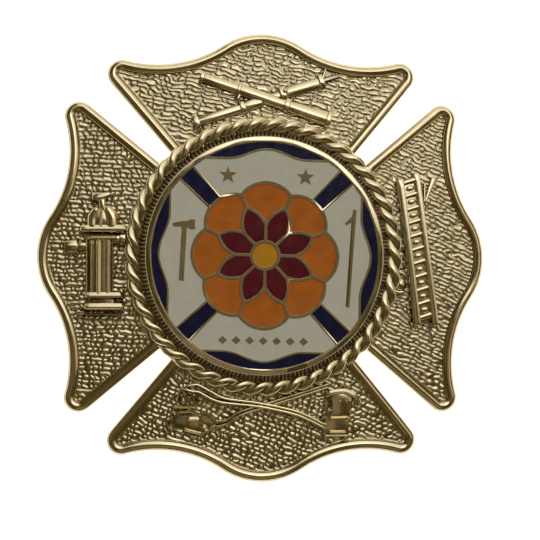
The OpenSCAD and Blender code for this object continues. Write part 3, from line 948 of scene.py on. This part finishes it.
def mark_recess(mesh, low, high, steep=0.0):
    """Mark as recess, which the brass finish darkens as oxide and painted shade, the points near the ground,
    fully up to the low height and no more from the high one on, the steep ones as painted shade, and the back
    a little."""
    plate = settings("pin_plate")
    centre = Vector((0, 0, plate.dome_height - plate.dome_radius))
    ground = plate.dome_radius + plate.ground_height
    shares = []
    for v in mesh.vertices:
        rise = ((v.co - centre).length - ground) / MM
        steepness = (STEEP_RISE - v.normal.z) / STEEP_FALL * steep
        share = min(max((high - rise) / (high - low), steepness, 0), 1)
        shares.append(share if rise > BACK_RISE else BACK_DARKENING)
    mesh.attributes.new("recess", "FLOAT", "POINT").data.foreach_set("value", shares)
    return mesh


def add_figure(name, shell, steep=0.7):
    """Add a raised figure, with oxide and painted shade round its foot and painted shade on its steep sides.
    """
    mesh = mark_recess(shell.mesh(name, 40), *FIGURE_OXIDE_AND_SHADE, steep)
    add_piece(name, mesh, "struck", "struck_brass", "cross_plate")


# The long nozzles, the lower one first: butt, tip, steps of (from, to, radius from, radius to), squash and
# lift
NOZZLES = (
    ((-8.75, 16.8), (9.9, 23.2), (
        (0, 0.6, 1.25, 1.25), (0.6, 6.2, 0.66, 0.6), (6.2, 6.8, 0.95, 0.95), (6.8, 9.0, 0.76, 0.76),
        (9.0, 11.6, 0.58, 0.58), (11.6, 12.3, 1.08, 1.08), (12.3, 16.9, 0.76, 0.7),
        (16.9, 17.5, 1.05, 1.05), (17.5, 19.7, 0.42, 0.3)), 0.62, 0.1),
    ((-8.0, 22.85), (8.6, 17.35), (
        (0, 0.5, 0.85, 0.85), (0.5, 5.0, 0.6, 0.68), (5.0, 5.35, 0.92, 0.92), (5.35, 11.3, 0.76, 0.76),
        (11.3, 11.9, 1.0, 1.0), (11.9, 16.9, 0.75, 0.98), (16.9, 17.45, 1.2, 1.2)), 0.66, 0.24),
)
# The shut-off at the crossing, as place, radius and rise, and its lever and the tip's pin, as points, width
# and rise
SHUT_OFF = ((2.75, 21.0), 0.5, 0.95)
SHUT_OFF_LEVER = (((-3.3, 20.0), (-2.6, 20.9), (-1.2, 20.6)), 0.34, 0.5)
TIP_PIN = (((7.3, 21.6), (8.0, 23.9)), 0.36, 0.6)


class PIN_OT_nozzles(bpy.types.Operator):
    """Make the two crossed hose nozzles on the top arm"""

    bl_idname = "pin.nozzles"
    bl_label = "Crossed Nozzles"

    def execute(self, context):
        shell = Shell()
        for start, end, steps, squash, lift in NOZZLES:
            turned_form(shell, start, end, rounded_profile(steps), squash, lift)
        knob(shell, *SHUT_OFF)
        smooth_ridges(shell, [SHUT_OFF_LEVER])
        ridge(shell, *TIP_PIN)
        add_figure("relief_nozzles", shell)
        return {"FINISHED"}


# The hydrant: bars across it, as left end, right end, height on the arm, width and rise
HYDRANT_BARS = (
    (-22.75, -17.75, 3.35, 1.05, 1.2),
    (-21.9, -18.9, 2.25, 0.8, 1.05),
    (-22.15, -18.25, -5.05, 0.9, 1.1),
    (-22.25, -18.05, -6.45, 0.95, 1.15),
    (-23.1, -18.2, -7.35, 0.34, 0.7),
)
# The cap and the neck under it: points, widths and rise
CAP = (((-21.3, 7.3), (-20.75, 7.35), (-20.2, 7.45), (-19.5, 7.75)), (0.9, 1.4, 1.0, 0.5), 0.8)
NECK = (((-20.4, 6.9), (-20.35, 5.9)), 0.9, 0.75)
# The bonnet: top and foot, its round top's length, first radius and swell, its straight foot, and its squash
# and lift
BONNET = ((-20.3, 6.15), (-20.3, 3.4))
BONNET_ROUND = (2.1, 0.7, 1.5)
BONNET_FOOT = (2.7, 2.15)
BONNET_SQUASH, BONNET_LIFT = 0.38, 0.1
# Lobes of the bonnet: foot, head and width, the heights on the arm that each runs through, the share of its
# width at its head, the points over which it widens, and their rise
BONNET_LOBES = ((-21.65, -21.2, 1.5), (-20.55, -20.45, 0.62), (-19.25, -19.65, 1.95))
LOBE_HEIGHTS = (5.7, 5.3, 4.7, 3.7)
LOBE_HEAD = 0.7
LOBE_POINTS = 9
LOBE_RISE = 1.12
# The barrel's height on the arm at both ends of its ribs, and each upright rib: place, width and rise
RIB_SPAN = (1.9, -5.0)
BARREL_RIBS = ((-22.25, 0.4, 0.8), (-21.65, 0.44, 0.9), (-20.85, 0.7, 1.0), (-19.7, 0.62, 0.95),
               (-19.05, 0.3, 0.75))
# Barrel and base: start, end, profile of distance and radius, squash and lift
BARREL = ((-20.6, 2.4), (-20.6, -5.0), ((0, 1.7), (7.2, 1.7)), 0.4, 0.05)
BASE = ((-20.2, -5.2), (-20.2, -7.0), ((0, 1.45), (1.7, 1.7)), 0.3, 0.0)
# Outlets: inner end, outer end, steps, squash and lift
OUTLETS = (
    ((-22.2, 1.25), (-25.1, 1.05), ((0, 1.3, 0.62, 0.62), (1.3, 2.9, 0.98, 0.9)), 0.7, 0.05),
    ((-19.2, 2.1), (-17.2, 2.1), ((0, 1.0, 0.75, 0.75), (1.0, 1.75, 1.0, 0.95)), 0.6, 0.0),
)
# Bolts of the flanges: place, radius and rise
BOLTS = (((-22.9, -6.4), 0.4, 0.5), ((-18.0, -4.5), 0.45, 0.5), ((-17.6, -5.7), 0.45, 0.5))


class PIN_OT_hydrant(bpy.types.Operator):
    """Make the hydrant on the left arm"""

    bl_idname = "pin.hydrant"
    bl_label = "Hydrant"

    def execute(self, context):
        shell = Shell()
        for left, right, y, width, rise in HYDRANT_BARS:
            ridge(shell, straight_path((left, y), (right, y), 12), width, rise, BAR_SECTION)
        ridge(shell, *CAP, BAR_SECTION)
        ridge(shell, *NECK)
        deep, top, swell = BONNET_ROUND
        turns = [math.pi / 2 * i / 8 for i in range(9)]
        bonnet = [(deep * (1 - math.cos(turn)), top + swell * math.sin(turn)) for turn in turns]
        turned_form(shell, *BONNET, bonnet + [BONNET_FOOT], BONNET_SQUASH, BONNET_LIFT)
        for foot, head, width in BONNET_LOBES:
            path = smooth_path(zip((head, (foot + head) / 2, foot, foot), LOBE_HEIGHTS))
            shares = [LOBE_HEAD + (1 - LOBE_HEAD) * min(i / LOBE_POINTS, 1) for i in range(len(path))]
            ridge(shell, path, [width * share for share in shares], LOBE_RISE, LOBE_SECTION)
        turned_form(shell, *BARREL)
        for x, width, rise in BARREL_RIBS:
            ridge(shell, straight_path((x, RIB_SPAN[0]), (x, RIB_SPAN[1]), 12), width, rise, BAR_SECTION)
        turned_form(shell, *BASE)
        for start, end, steps, squash, lift in OUTLETS:
            turned_form(shell, start, end, rounded_profile(steps), squash, lift)
        for bolt in BOLTS:
            knob(shell, *bolt)
        add_figure("relief_hydrant", shell)
        return {"FINISHED"}


# The ladder: top and foot of its rails, and the floor that is seen between its rungs
LEFT_RAIL = ((17.51, 9.6), (19.67, -8.4))
RIGHT_RAIL = ((19.61, 10.4), (22.03, -8.4))
RAIL_WIDTH = 0.92
RAIL_HEIGHT = 0.78
FLOOR_WIDTH = 2.1
FLOOR_HEIGHT = 0.44
FLOOR_FROM, FLOOR_TO = 0.06, 0.94
# Its rungs: number, rise from left to right, length, radius, height, and where the first and last one are
RUNGS = 11
RUNG_RISE = 0.68
RUNG_LENGTH = 1.75
RUNG_RADIUS = 0.4
RUNG_HEIGHT = 0.25
FIRST_RUNG, LAST_RUNG = 0.02, 0.972
# Length, width and height of a pebble between two rungs, against the rung's radius
PEBBLE_SHAPE = (1.75, 1.15, 0.95)
# Beside the ladder: the pike pole's point, its tapering hook and the bar under the roller, as points, width
# and rise, and the roller, as place, radius and rise
BESIDE_LADDER = (
    (((20.75, 9.3), (20.7, 8.3), (20.65, 7.0)), 0.4, 0.5),
    (((21.9, 9.9), (21.4, 8.7), (20.8, 7.0)), [0.85 - 0.04 * i for i in range(13)], 0.55),
    (((16.5, -4.1), (17.1, -4.5), (17.8, -4.5)), 0.5, 0.55),
)
ROLLER = ((17.45, -3.45), 0.92, 0.75)


def rung_tree():
    """Set a bar across the rails at each step down the ladder, and a pebble of the ground between two."""
    tree, add, given = shape_tree("Ladder rungs", {
        "Count": "Int", "Head": "Vector", "Bend": "Vector", "Foot": "Vector",
        "Along": "Float", "Span": "Float", "Radius": "Float"})
    middle = add("GeometryNodeCurveQuadraticBezier", {
        "Resolution": 32, "Start": given["Head"], "Middle": given["Bend"], "End": given["Foot"]})
    both = add("ShaderNodeMath", (given["Count"], 2.0, -1.0), operation="MULTIPLY_ADD")
    places = add("GeometryNodeResampleCurve", {"Curve": middle, "Count": both})
    index = add("GeometryNodeInputIndex")
    in_gap = add("ShaderNodeMath", (index, 2.0), operation="MODULO")
    at_rung = add("ShaderNodeMath", (1.0, in_gap), operation="SUBTRACT")
    bar = add("GeometryNodeMeshCylinder", {
        "Vertices": 14, "Radius": given["Radius"], "Depth": given["Span"]})
    lying = add("GeometryNodeTransform", {"Geometry": bar, "Rotation": (0, math.pi / 2, 0)})
    spin = add("ShaderNodeCombineXYZ", {2: given["Along"]})
    placed = add("GeometryNodeInstanceOnPoints", {
        "Points": places, "Selection": at_rung, "Instance": lying, "Rotation": spin})
    ball = add("GeometryNodeMeshUVSphere", {"Segments": 14, "Rings": 8, "Radius": given["Radius"]})
    pebble = add("GeometryNodeTransform", {"Geometry": ball, "Scale": PEBBLE_SHAPE})
    pebbles = add("GeometryNodeInstanceOnPoints", {
        "Points": places, "Selection": in_gap, "Instance": pebble, "Rotation": spin})
    joined = add("GeometryNodeJoinGeometry")
    for part in (placed, pebbles):
        tree.links.new(part.outputs[0], joined.inputs[0])
    return close_tree(tree, joined, given["Material"])


class PIN_OT_ladder(bpy.types.Operator):
    """Make the ladder and the pike pole on the right arm"""

    bl_idname = "pin.ladder"
    bl_label = "Ladder"

    def execute(self, context):
        shell = Shell()
        for rail in (LEFT_RAIL, RIGHT_RAIL):
            ridge(shell, straight_path(*rail, 24), RAIL_WIDTH, RAIL_HEIGHT, RAIL_SECTION)
        top, foot = [(Vector(left) + Vector(right)) / 2 for left, right in zip(LEFT_RAIL, RIGHT_RAIL)]
        path = straight_path(top.lerp(foot, FLOOR_FROM), top.lerp(foot, FLOOR_TO), 24)
        ridge(shell, path, FLOOR_WIDTH, FLOOR_HEIGHT, BOX_SECTION)
        smooth_ridges(shell, BESIDE_LADDER)
        knob(shell, *ROLLER)
        across = Vector(RIGHT_RAIL[0]) - Vector(LEFT_RAIL[0])
        start = Vector(LEFT_RAIL[0]).lerp(Vector(LEFT_RAIL[1]), FIRST_RUNG)
        end = Vector(LEFT_RAIL[0]).lerp(Vector(LEFT_RAIL[1]), LAST_RUNG)
        middle = Vector((across.x / 2, RUNG_RISE / 2))
        first, half_way, last = [
            raised(start.lerp(end, share) + middle, RUNG_HEIGHT) for share in (0, 0.5, 1)]
        rungs = grown_mesh("rungs", rung_tree(), "struck", {
            "Count": RUNGS, "Head": first, "Bend": half_way * 2 - (first + last) / 2, "Foot": last,
            "Along": math.atan2(RUNG_RISE, across.x), "Span": RUNG_LENGTH * MM, "Radius": RUNG_RADIUS * MM})
        base = len(shell.points)
        shell.points += [v.co.copy() for v in rungs.vertices]
        shell.faces += [tuple(base + i for i in face.vertices) for face in rungs.polygons]
        add_figure("relief_ladder", shell)
        return {"FINISHED"}


# The trumpet's horn and the axe's handle, each as two wires side by side: points, width and rise
WIRES = (
    (((-6.3, -20.75), (-4.76, -20.75), (-2.9, -19.6), (1.2, -18.35), (4.6, -17.3), (8.15, -16.2)), 0.4, 0.6),
    (((-6.3, -21.5), (-4.76, -21.2), (-2.8, -20.02), (1.2, -18.78), (4.6, -17.7), (8.1, -16.62)), 0.4, 0.6),
    (((-9.6, -16.35), (-8.5, -16.2), (-7.65, -16.55), (-6.45, -17.2), (-4.8, -17.95), (-0.47, -18.55),
      (3.72, -19.45), (5.8, -20.25), (7.9, -21.3)), 0.44, 0.85),
    (((-9.85, -16.8), (-9.0, -17.05), (-8.15, -17.15), (-6.45, -18.05), (-4.8, -18.5), (-0.47, -18.98),
      (3.72, -19.88), (5.8, -20.68), (7.8, -21.7)), 0.44, 0.85),
)
# Plates of the axe head, its socket and the bell: outline, rise and bevel
PLATES = (
    (((8.55, -17.6), (10.0, -17.2), (11.3, -17.7), (11.05, -18.8), (11.0, -20.5), (8.6, -20.5),
      (8.75, -19.4), (8.75, -18.4)), 0.46, 0.08),
    (((7.8, -20.45), (10.9, -20.45), (10.95, -22.7), (7.85, -22.7)), 0.5, 0.08),
    (((-11.3, -20.1), (-9.45, -20.1), (-9.45, -21.75), (-11.0, -21.75), (-11.4, -21.0)), 0.34, 0.05),
    (((-9.5, -19.9), (-7.9, -19.9), (-7.9, -22.2), (-9.7, -21.9)), 0.5, 0.05),
    (((-7.7, -20.0), (-6.5, -20.6), (-5.7, -21.0), (-6.5, -21.6), (-7.7, -21.5)), 0.42, 0.05),
)
# Bars on the axe head and then on the bell: points, width and rise
BARS = (
    (((8.07, -17.6), (8.7, -17.22), (9.59, -17.09), (10.36, -17.09), (11.12, -17.41), (11.63, -17.73),
      (12.13, -18.17), (12.26, -18.42)), 0.72, 1.0),
    (((9.3, -16.75), (9.9, -16.4), (10.6, -16.35)), 0.22, 0.5),
    (((7.85, -18.0), (8.15, -18.7), (8.0, -19.5), (8.0, -20.0), (7.5, -20.6)), 0.34, 0.7),
    (((11.15, -18.3), (11.0, -19.4), (10.95, -20.4)), 0.26, 0.85),
    (((7.9, -20.45), (9.4, -20.5), (10.9, -20.45)), 0.4, 0.9),
    (((8.55, -22.2), (9.5, -22.22), (10.4, -22.2)), 0.34, 0.95),
    (((7.8, -22.68), (9.3, -22.7), (10.8, -22.68)), 0.2, 0.75),
    (((-10.86, -18.13), (-10.65, -17.4), (-10.36, -16.7), (-10.12, -17.1), (-9.94, -17.53)), 0.42, 0.62),
    (((-10.36, -17.79), (-10.36, -18.39)), 0.36, 0.62),
    (((-9.59, -17.66), (-9.17, -18.72)), 0.38, 0.62),
    (((-9.0, -17.66), (-8.6, -18.68)), 0.38, 0.62),
    (((-8.45, -17.66), (-8.15, -18.3)), 0.36, 0.62),
    (((-11.12, -19.0), (-9.8, -19.02), (-8.49, -19.0)), 0.5, 0.95),
    (((-10.61, -19.66), (-9.17, -19.64), (-8.6, -19.8), (-7.9, -20.08)), 0.44, 0.85),
    (((-9.35, -20.58), (-8.25, -20.58)), 0.66, 0.8),
    (((-7.88, -19.8), (-7.8, -20.45), (-7.88, -21.1)), 0.34, 0.9),
    (((-7.65, -19.73), (-6.96, -20.08), (-6.45, -20.5), (-5.95, -20.85)), 0.36, 0.8),
    (((-9.85, -21.94), (-8.74, -22.2), (-7.98, -22.36), (-6.96, -21.94), (-5.95, -21.55)), 0.4, 0.85),
    (((-11.63, -20.08), (-11.6, -21.1)), 0.34, 0.8),
    (((-12.13, -20.71), (-12.0, -21.4), (-11.54, -21.98)), 0.28, 0.6),
)
# Rivets of the axe head and the bell's boss: place, radius and rise
RIVETS = (((9.72, -18.42), 0.26, 0.7), ((10.6, -18.42), 0.26, 0.7), ((-7.5, -21.7), 0.58, 0.85))


class PIN_OT_axe_and_trumpet(bpy.types.Operator):
    """Make the axe and the speaking trumpet on the bottom arm"""

    bl_idname = "pin.axe_and_trumpet"
    bl_label = "Axe and Trumpet"

    def execute(self, context):
        shell = Shell()
        smooth_ridges(shell, WIRES, WIRE_SECTION)
        for plate in PLATES:
            slab(shell, *plate)
        smooth_ridges(shell, BARS, BAR_SECTION)
        for rivet in RIVETS:
            knob(shell, *rivet)
        add_figure("relief_axe_and_trumpet", shell, 0.25)
        return {"FINISHED"}


# The rope ring and the reeding

# Sides of the rope's section, and sections along it in one turn of its strands
ROPE_SIDES = 28
STEPS_PER_TURN = 18
# Height of the struck rope against its width
FLATNESS = 0.72
# A rib's two ends, as radius and height in mm
RIB_TOP = (14.85, 7.25)
RIB_FOOT = (15.72, 5.95)


def rope_tree():
    """Sweep a section of two strands round a ring, turning it as it goes."""
    tree, add, given = shape_tree("Rope ring", {
        "Ring radius": "Float", "Height": "Float", "Rope radius": "Float",
        "Groove radius": "Float", "Turns": "Int", "Start": "Float", "Sides": "Int"})
    index = add("GeometryNodeInputIndex")
    part = add("ShaderNodeMath", (index, given["Sides"]), operation="DIVIDE")
    around = add("ShaderNodeMath", (part, FULL_TURN), operation="MULTIPLY")
    across = add("ShaderNodeMath", (around,), operation="COSINE")
    upward = add("ShaderNodeMath", (around,), operation="SINE")
    swell = add("ShaderNodeMath", (across,), operation="ABSOLUTE")
    reach = add("ShaderNodeMapRange", (swell, 0.0, 1.0, given["Groove radius"], given["Rope radius"]))
    edge = add("ShaderNodeCombineXYZ", (
        add("ShaderNodeMath", (reach, across), operation="MULTIPLY"),
        add("ShaderNodeMath", (reach, upward), operation="MULTIPLY")))
    circle = add("GeometryNodeCurvePrimitiveCircle", {
        "Resolution": given["Sides"], "Radius": given["Rope radius"]})
    section = add("GeometryNodeSetPosition", {"Geometry": circle, "Position": edge})
    # The grooves between the strands are marked as recess, to be darkened as oxide and painted shade
    hollow = add("ShaderNodeMapRange", (swell, 0.0, 0.45, 1.0, 0.0))
    marked = add("GeometryNodeStoreNamedAttribute", {
        "Geometry": section, "Name": "recess", "Value": hollow})
    steps = add("ShaderNodeMath", (given["Turns"], STEPS_PER_TURN), operation="MULTIPLY")
    ring = add("GeometryNodeCurvePrimitiveCircle", {"Resolution": steps, "Radius": given["Ring radius"]})
    turning = add("ShaderNodeMath", (index, -FULL_TURN / STEPS_PER_TURN, given["Start"]),
                  operation="MULTIPLY_ADD")
    twisted = add("GeometryNodeSetCurveTilt", {"Curve": ring, "Tilt": turning})
    wire = add("GeometryNodeCurveToMesh", {"Curve": twisted, "Profile Curve": marked})
    here = add("GeometryNodeInputPosition")
    flat = add("ShaderNodeVectorMath", (here, (1.0, 1.0, FLATNESS)), operation="MULTIPLY")
    lift = add("ShaderNodeCombineXYZ", {2: given["Height"]})
    pressed = add("ShaderNodeVectorMath", (flat, lift), operation="ADD")
    struck = add("GeometryNodeSetPosition", {"Geometry": wire, "Position": pressed})
    return close_tree(tree, struck, given["Material"])


def reeding_tree():
    """Lean a rib against the seal's wall at each step round it."""
    tree, add, given = shape_tree("Reeding", {
        "Count": "Int", "Radius": "Float", "Length": "Float", "Lean": "Vector", "Middle": "Vector"})
    spots = add("GeometryNodeMeshLine", {"Count": given["Count"], "Offset": (0, 0, 0)})
    rib = add("GeometryNodeMeshCylinder", {
        "Vertices": 12, "Radius": given["Radius"], "Depth": given["Length"]})
    # Each rib is marked fully as recess, so it is darkened all over as a painted shadow
    darkened = add("GeometryNodeStoreNamedAttribute", {"Geometry": rib, "Name": "recess", "Value": 1.0})
    leaning = add("GeometryNodeTransform", {
        "Geometry": darkened, "Translation": given["Middle"], "Rotation": given["Lean"]})
    index = add("GeometryNodeInputIndex")
    share = add("ShaderNodeMath", (index, given["Count"]), operation="DIVIDE")
    turn = add("ShaderNodeMath", (share, FULL_TURN), operation="MULTIPLY")
    spin = add("ShaderNodeCombineXYZ", {2: turn})
    placed = add("GeometryNodeInstanceOnPoints", {"Points": spots, "Instance": leaning, "Rotation": spin})
    return close_tree(tree, placed, given["Material"])


class PIN_OT_rope(bpy.types.Operator):
    """Make the rope ring and the reeded band inside it"""

    bl_idname = "pin.rope"
    bl_label = "Rope Ring"

    def execute(self, context):
        rope = settings("pin_rope")
        mesh = grown_mesh("rope", rope_tree(), "rope", {
            "Ring radius": rope.ring_radius, "Height": rope.height, "Rope radius": rope.radius,
            "Groove radius": rope.groove_radius, "Turns": rope.turns, "Start": rope.start,
            "Sides": ROPE_SIDES})
        add_piece("rope", finish_mesh(mesh, 60), "rope", "rope_brass", "rope_ring")
        top, foot = Vector(RIB_TOP), Vector(RIB_FOOT)
        middle = (top + foot) / 2 * MM
        mesh = grown_mesh("reeding", reeding_tree(), "reeding", {
            "Count": rope.ribs, "Radius": rope.rib_radius, "Length": (foot - top).length * MM,
            "Lean": (0, math.atan2(top.x - foot.x, top.y - foot.y), 0), "Middle": (middle.x, 0, middle.y)})
        add_piece("reeding", finish_mesh(mesh, 50), "reeding", "polished_brass", "seal_disc")
        return {"FINISHED"}


# The seal

# Families of enamels: how many pieces, and their finish
ENAMELS = {
    "blue_crescent": (4, "blue"), "blue_bar": (4, "blue"), "white_arm": (4, "white"),
    "orange_petal": (8, "orange"), "red_petal": (8, "red"),
}
# How far the seal's rim falls from its inner edge to its outer one
RIM_FALL = 0.2 * MM
# Angles in degrees: between two faces that are one flat face, and of an edge that is rounded off
FLAT_ANGLE = 0.3
CORNER_ANGLE = 40
# Reach below a part's top, and inside its outer edge, of what counts as lying there
AT_TOP = 0.02 * MM
AT_EDGE = 0.05 * MM
# Rounding of the bar pin's edges
PIN_BEVEL = 0.12 * MM


def node_copy(node, name):
    """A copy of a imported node's mesh, its doubles merged and its flat faces joined."""
    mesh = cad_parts[node].data.copy()
    mesh.name = name
    with edited(mesh) as work:
        bmesh.ops.remove_doubles(work, verts=work.verts, dist=DOUBLES / 2)
        bmesh.ops.dissolve_limit(work, angle_limit=math.radians(FLAT_ANGLE), verts=[], edges=work.edges)
    return mesh


def soften(mesh, width, sharp=40):
    """Round off a mesh's sharp edges."""
    with edited(mesh) as work:
        least = math.radians(CORNER_ANGLE)
        corners = [e for e in work.edges if e.is_manifold and e.calc_face_angle(0) > least]
        bmesh.ops.bevel(work, geom=corners, offset=width, segments=2, profile=0.5, affect="EDGES",
                        clamp_overlap=True)
    return finish_mesh(mesh, sharp)


def round_rim(mesh, width):
    """Slope the seal's rim outwards and round off its outer edge."""
    with edited(mesh) as work:
        top = max(v.co.z for v in work.verts) - AT_TOP
        reach = max(v.co.xy.length for v in work.verts) - AT_EDGE
        edge = [e for e in work.edges if all(v.co.z > top and v.co.xy.length > reach for v in e.verts)]
        for v in {v for e in edge for v in e.verts}:
            v.co.z -= RIM_FALL
        bmesh.ops.bevel(work, geom=edge, offset=width, segments=5, profile=0.5, affect="EDGES")


class PIN_OT_seal(bpy.types.Operator):
    """Make the seal's metal and its enamels"""

    bl_idname = "pin.seal"
    bl_label = "Enamelled Seal"

    def execute(self, context):
        seal = settings("pin_seal")
        mesh = node_copy("seal_disc", "seal_metal")
        round_rim(mesh, seal.rim_rounding)
        add_piece("seal_metal", soften(mesh, seal.bevel, 18), "polished", "polished_brass", "seal_disc")
        for family, (count, finish) in ENAMELS.items():
            for k in range(1, count + 1):
                self.add_enamel(f"{family}_{k}", finish)
        self.add_enamel("rosette_heart", "amber")
        return {"FINISHED"}

    def add_enamel(self, node, finish):
        """Add one pool of enamel, its top a little under the metal lines."""
        name = "enamel_" + node
        mesh = node_copy(node, name)
        top = max(v.co.z for v in mesh.vertices) - AT_TOP
        for v in mesh.vertices:
            if v.co.z > top:
                v.co.z -= settings("pin_seal").enamel_drop
        add_piece(name, finish_mesh(mesh, 50), finish, finish + "_enamel", node)


class PIN_OT_bar_pin(bpy.types.Operator):
    """Make the bar, blocks and stem of the pin at the back"""

    bl_idname = "pin.bar_pin"
    bl_label = "Bar Pin"

    def execute(self, context):
        mesh = soften(node_copy("pin_back", "bar_pin"), PIN_BEVEL)
        add_piece("bar_pin", mesh, "pin", "pin_brass", "pin_back")
        return {"FINISHED"}


# Stage

# Soft lights: azimuth from east and elevation in degrees, width and height in metres, radiance, whether the
# metal mirrors it, and tint
SOFTBOXES = {
    "north": (70, 48, 1.18, 0.96, 0.95, True, "#F5F9FF"),
    "crown": (70, 65, 0.5, 0.42, 0.78, True, "#F5F9FF"),
    "north_low": (76, 11, 1.2, 0.28, 0.55, True, "#FFFFFF"),
    "zenith": (23, 84, 0.26, 0.26, 0.08, True, "#FFF2E6"),
    "east": (4, 40, 0.5, 0.5, 0.5, True, "#FFF1E2"),
    "west": (175, 36, 0.5, 0.4, 0.08, True, "#FFF6E0"),
    "south": (268, 32, 0.6, 0.35, 0.17, True, "#F0ECC0"),
    "south_high": (262, 76, 0.42, 0.3, 0.15, True, "#FFE6D6"),
    "overhead": (60, 84, 0.5, 0.5, 0.9, False, "#FFFFFF"),
}
# Distance from the badge to every light, in metres
LIGHT_DISTANCE = 0.9
# Colour of the room overhead and near the floor
ROOM = "#403A22"
ROOM_LOW = "#4A4024"
# The point that the middle of the picture shows, in millimetres
VIEW_CENTRE = (0.97, -1.67, 4)


def room_light():
    """A dim warm room, a little darker overhead than near its walls."""
    world = bpy.data.worlds.new("studio")
    world.use_nodes = True
    tree = world.node_tree
    tree.nodes.clear()
    add = partial(add_node, tree)
    direction = add("ShaderNodeTexCoord").outputs["Generated"]
    rise = add("ShaderNodeSeparateXYZ", (direction,)).outputs[2]
    share = add("ShaderNodeMapRange", (rise, 0.2, 0.9))
    tint = add("ShaderNodeMix", {0: share, 6: rgba(linear(ROOM_LOW)), 7: rgba(linear(ROOM))},
               data_type="RGBA")
    add("ShaderNodeOutputWorld", (add("ShaderNodeBackground", (tint,)),))
    return world


def place_camera():
    """A camera that looks almost straight down, with the badge's top upwards."""
    stage = settings("pin_stage")
    back = Vector((*polar(math.sin(stage.view_tilt), stage.view_heading), math.cos(stage.view_tilt)))
    right = Vector((0, 1, 0)).cross(back).normalized()
    rotation = Matrix((right, back.cross(right), back)).transposed()
    place = Vector(VIEW_CENTRE) * MM + back * stage.view_distance
    data = bpy.data.cameras.new("camera")
    data.sensor_width = 36
    data.lens = data.sensor_width * stage.view_distance / stage.view_width
    data.clip_start = 0.01
    camera = new_object("camera", data)
    camera.matrix_world = Matrix.Translation(place) @ rotation.to_4x4()
    bpy.context.scene.camera = camera


def place_softbox(name, azimuth, elevation, width, height, radiance, mirrored, tint):
    """A rectangular light that faces the badge."""
    data = bpy.data.lights.new(name, "AREA")
    data.shape = "RECTANGLE"
    data.size = width
    data.size_y = height
    data.energy = radiance * math.pi * width * height
    data.color = linear(tint)
    rise = math.radians(elevation)
    place = Vector((*polar(math.cos(rise), math.radians(azimuth)), math.sin(rise))) * LIGHT_DISTANCE
    light = new_object(name, data)
    light.matrix_world = Matrix.Translation(place) @ place.to_track_quat("Z", "Y").to_matrix().to_4x4()
    light.visible_camera = False
    light.visible_glossy = mirrored


class PIN_OT_stage(bpy.types.Operator):
    """Set the floor, the lights and the camera"""

    bl_idname = "pin.stage"
    bl_label = "Stage"

    def execute(self, context):
        place_camera()
        for name, row in SOFTBOXES.items():
            place_softbox("light_" + name, *row)
        context.scene.world = room_light()
        context.scene.view_settings.view_transform = "Standard"
        half = settings("pin_stage").floor_size / 2
        mesh = bpy.data.meshes.new("floor")
        mesh.from_pydata([(-half, -half, 0), (half, -half, 0), (half, half, 0), (-half, half, 0)], [],
                         [(0, 1, 2, 3)])
        mesh.materials.append(floor_finish())
        new_object("floor", mesh)
        return {"FINISHED"}


OPERATORS = (PIN_OT_stage, PIN_OT_plate, PIN_OT_ground, PIN_OT_nozzles, PIN_OT_hydrant, PIN_OT_ladder,
             PIN_OT_axe_and_trumpet, PIN_OT_rope, PIN_OT_seal, PIN_OT_bar_pin)


class PIN_PT_panel(bpy.types.Panel):
    """Lists the steps that make the pin"""

    bl_label = "Insignia Pin"
    bl_space_type = "VIEW_3D"
    bl_region_type = "UI"
    bl_category = "Insignia Pin"

    def draw(self, context):
        for operator in OPERATORS:
            self.layout.operator(operator.bl_idname)


CLASSES = (*SETTINGS.values(), *OPERATORS, PIN_PT_panel)


def register():
    for kind in CLASSES:
        bpy.utils.register_class(kind)
    for name, kind in SETTINGS.items():
        setattr(bpy.types.Scene, name, PointerProperty(type=kind))


def unregister():
    for name in SETTINGS:
        delattr(bpy.types.Scene, name)
    for kind in reversed(CLASSES):
        bpy.utils.unregister_class(kind)


def main():
    register()
    for operator in OPERATORS:
        getattr(bpy.ops.pin, operator.bl_idname.split(".")[1])()


if __name__ == "__main__":
    main()
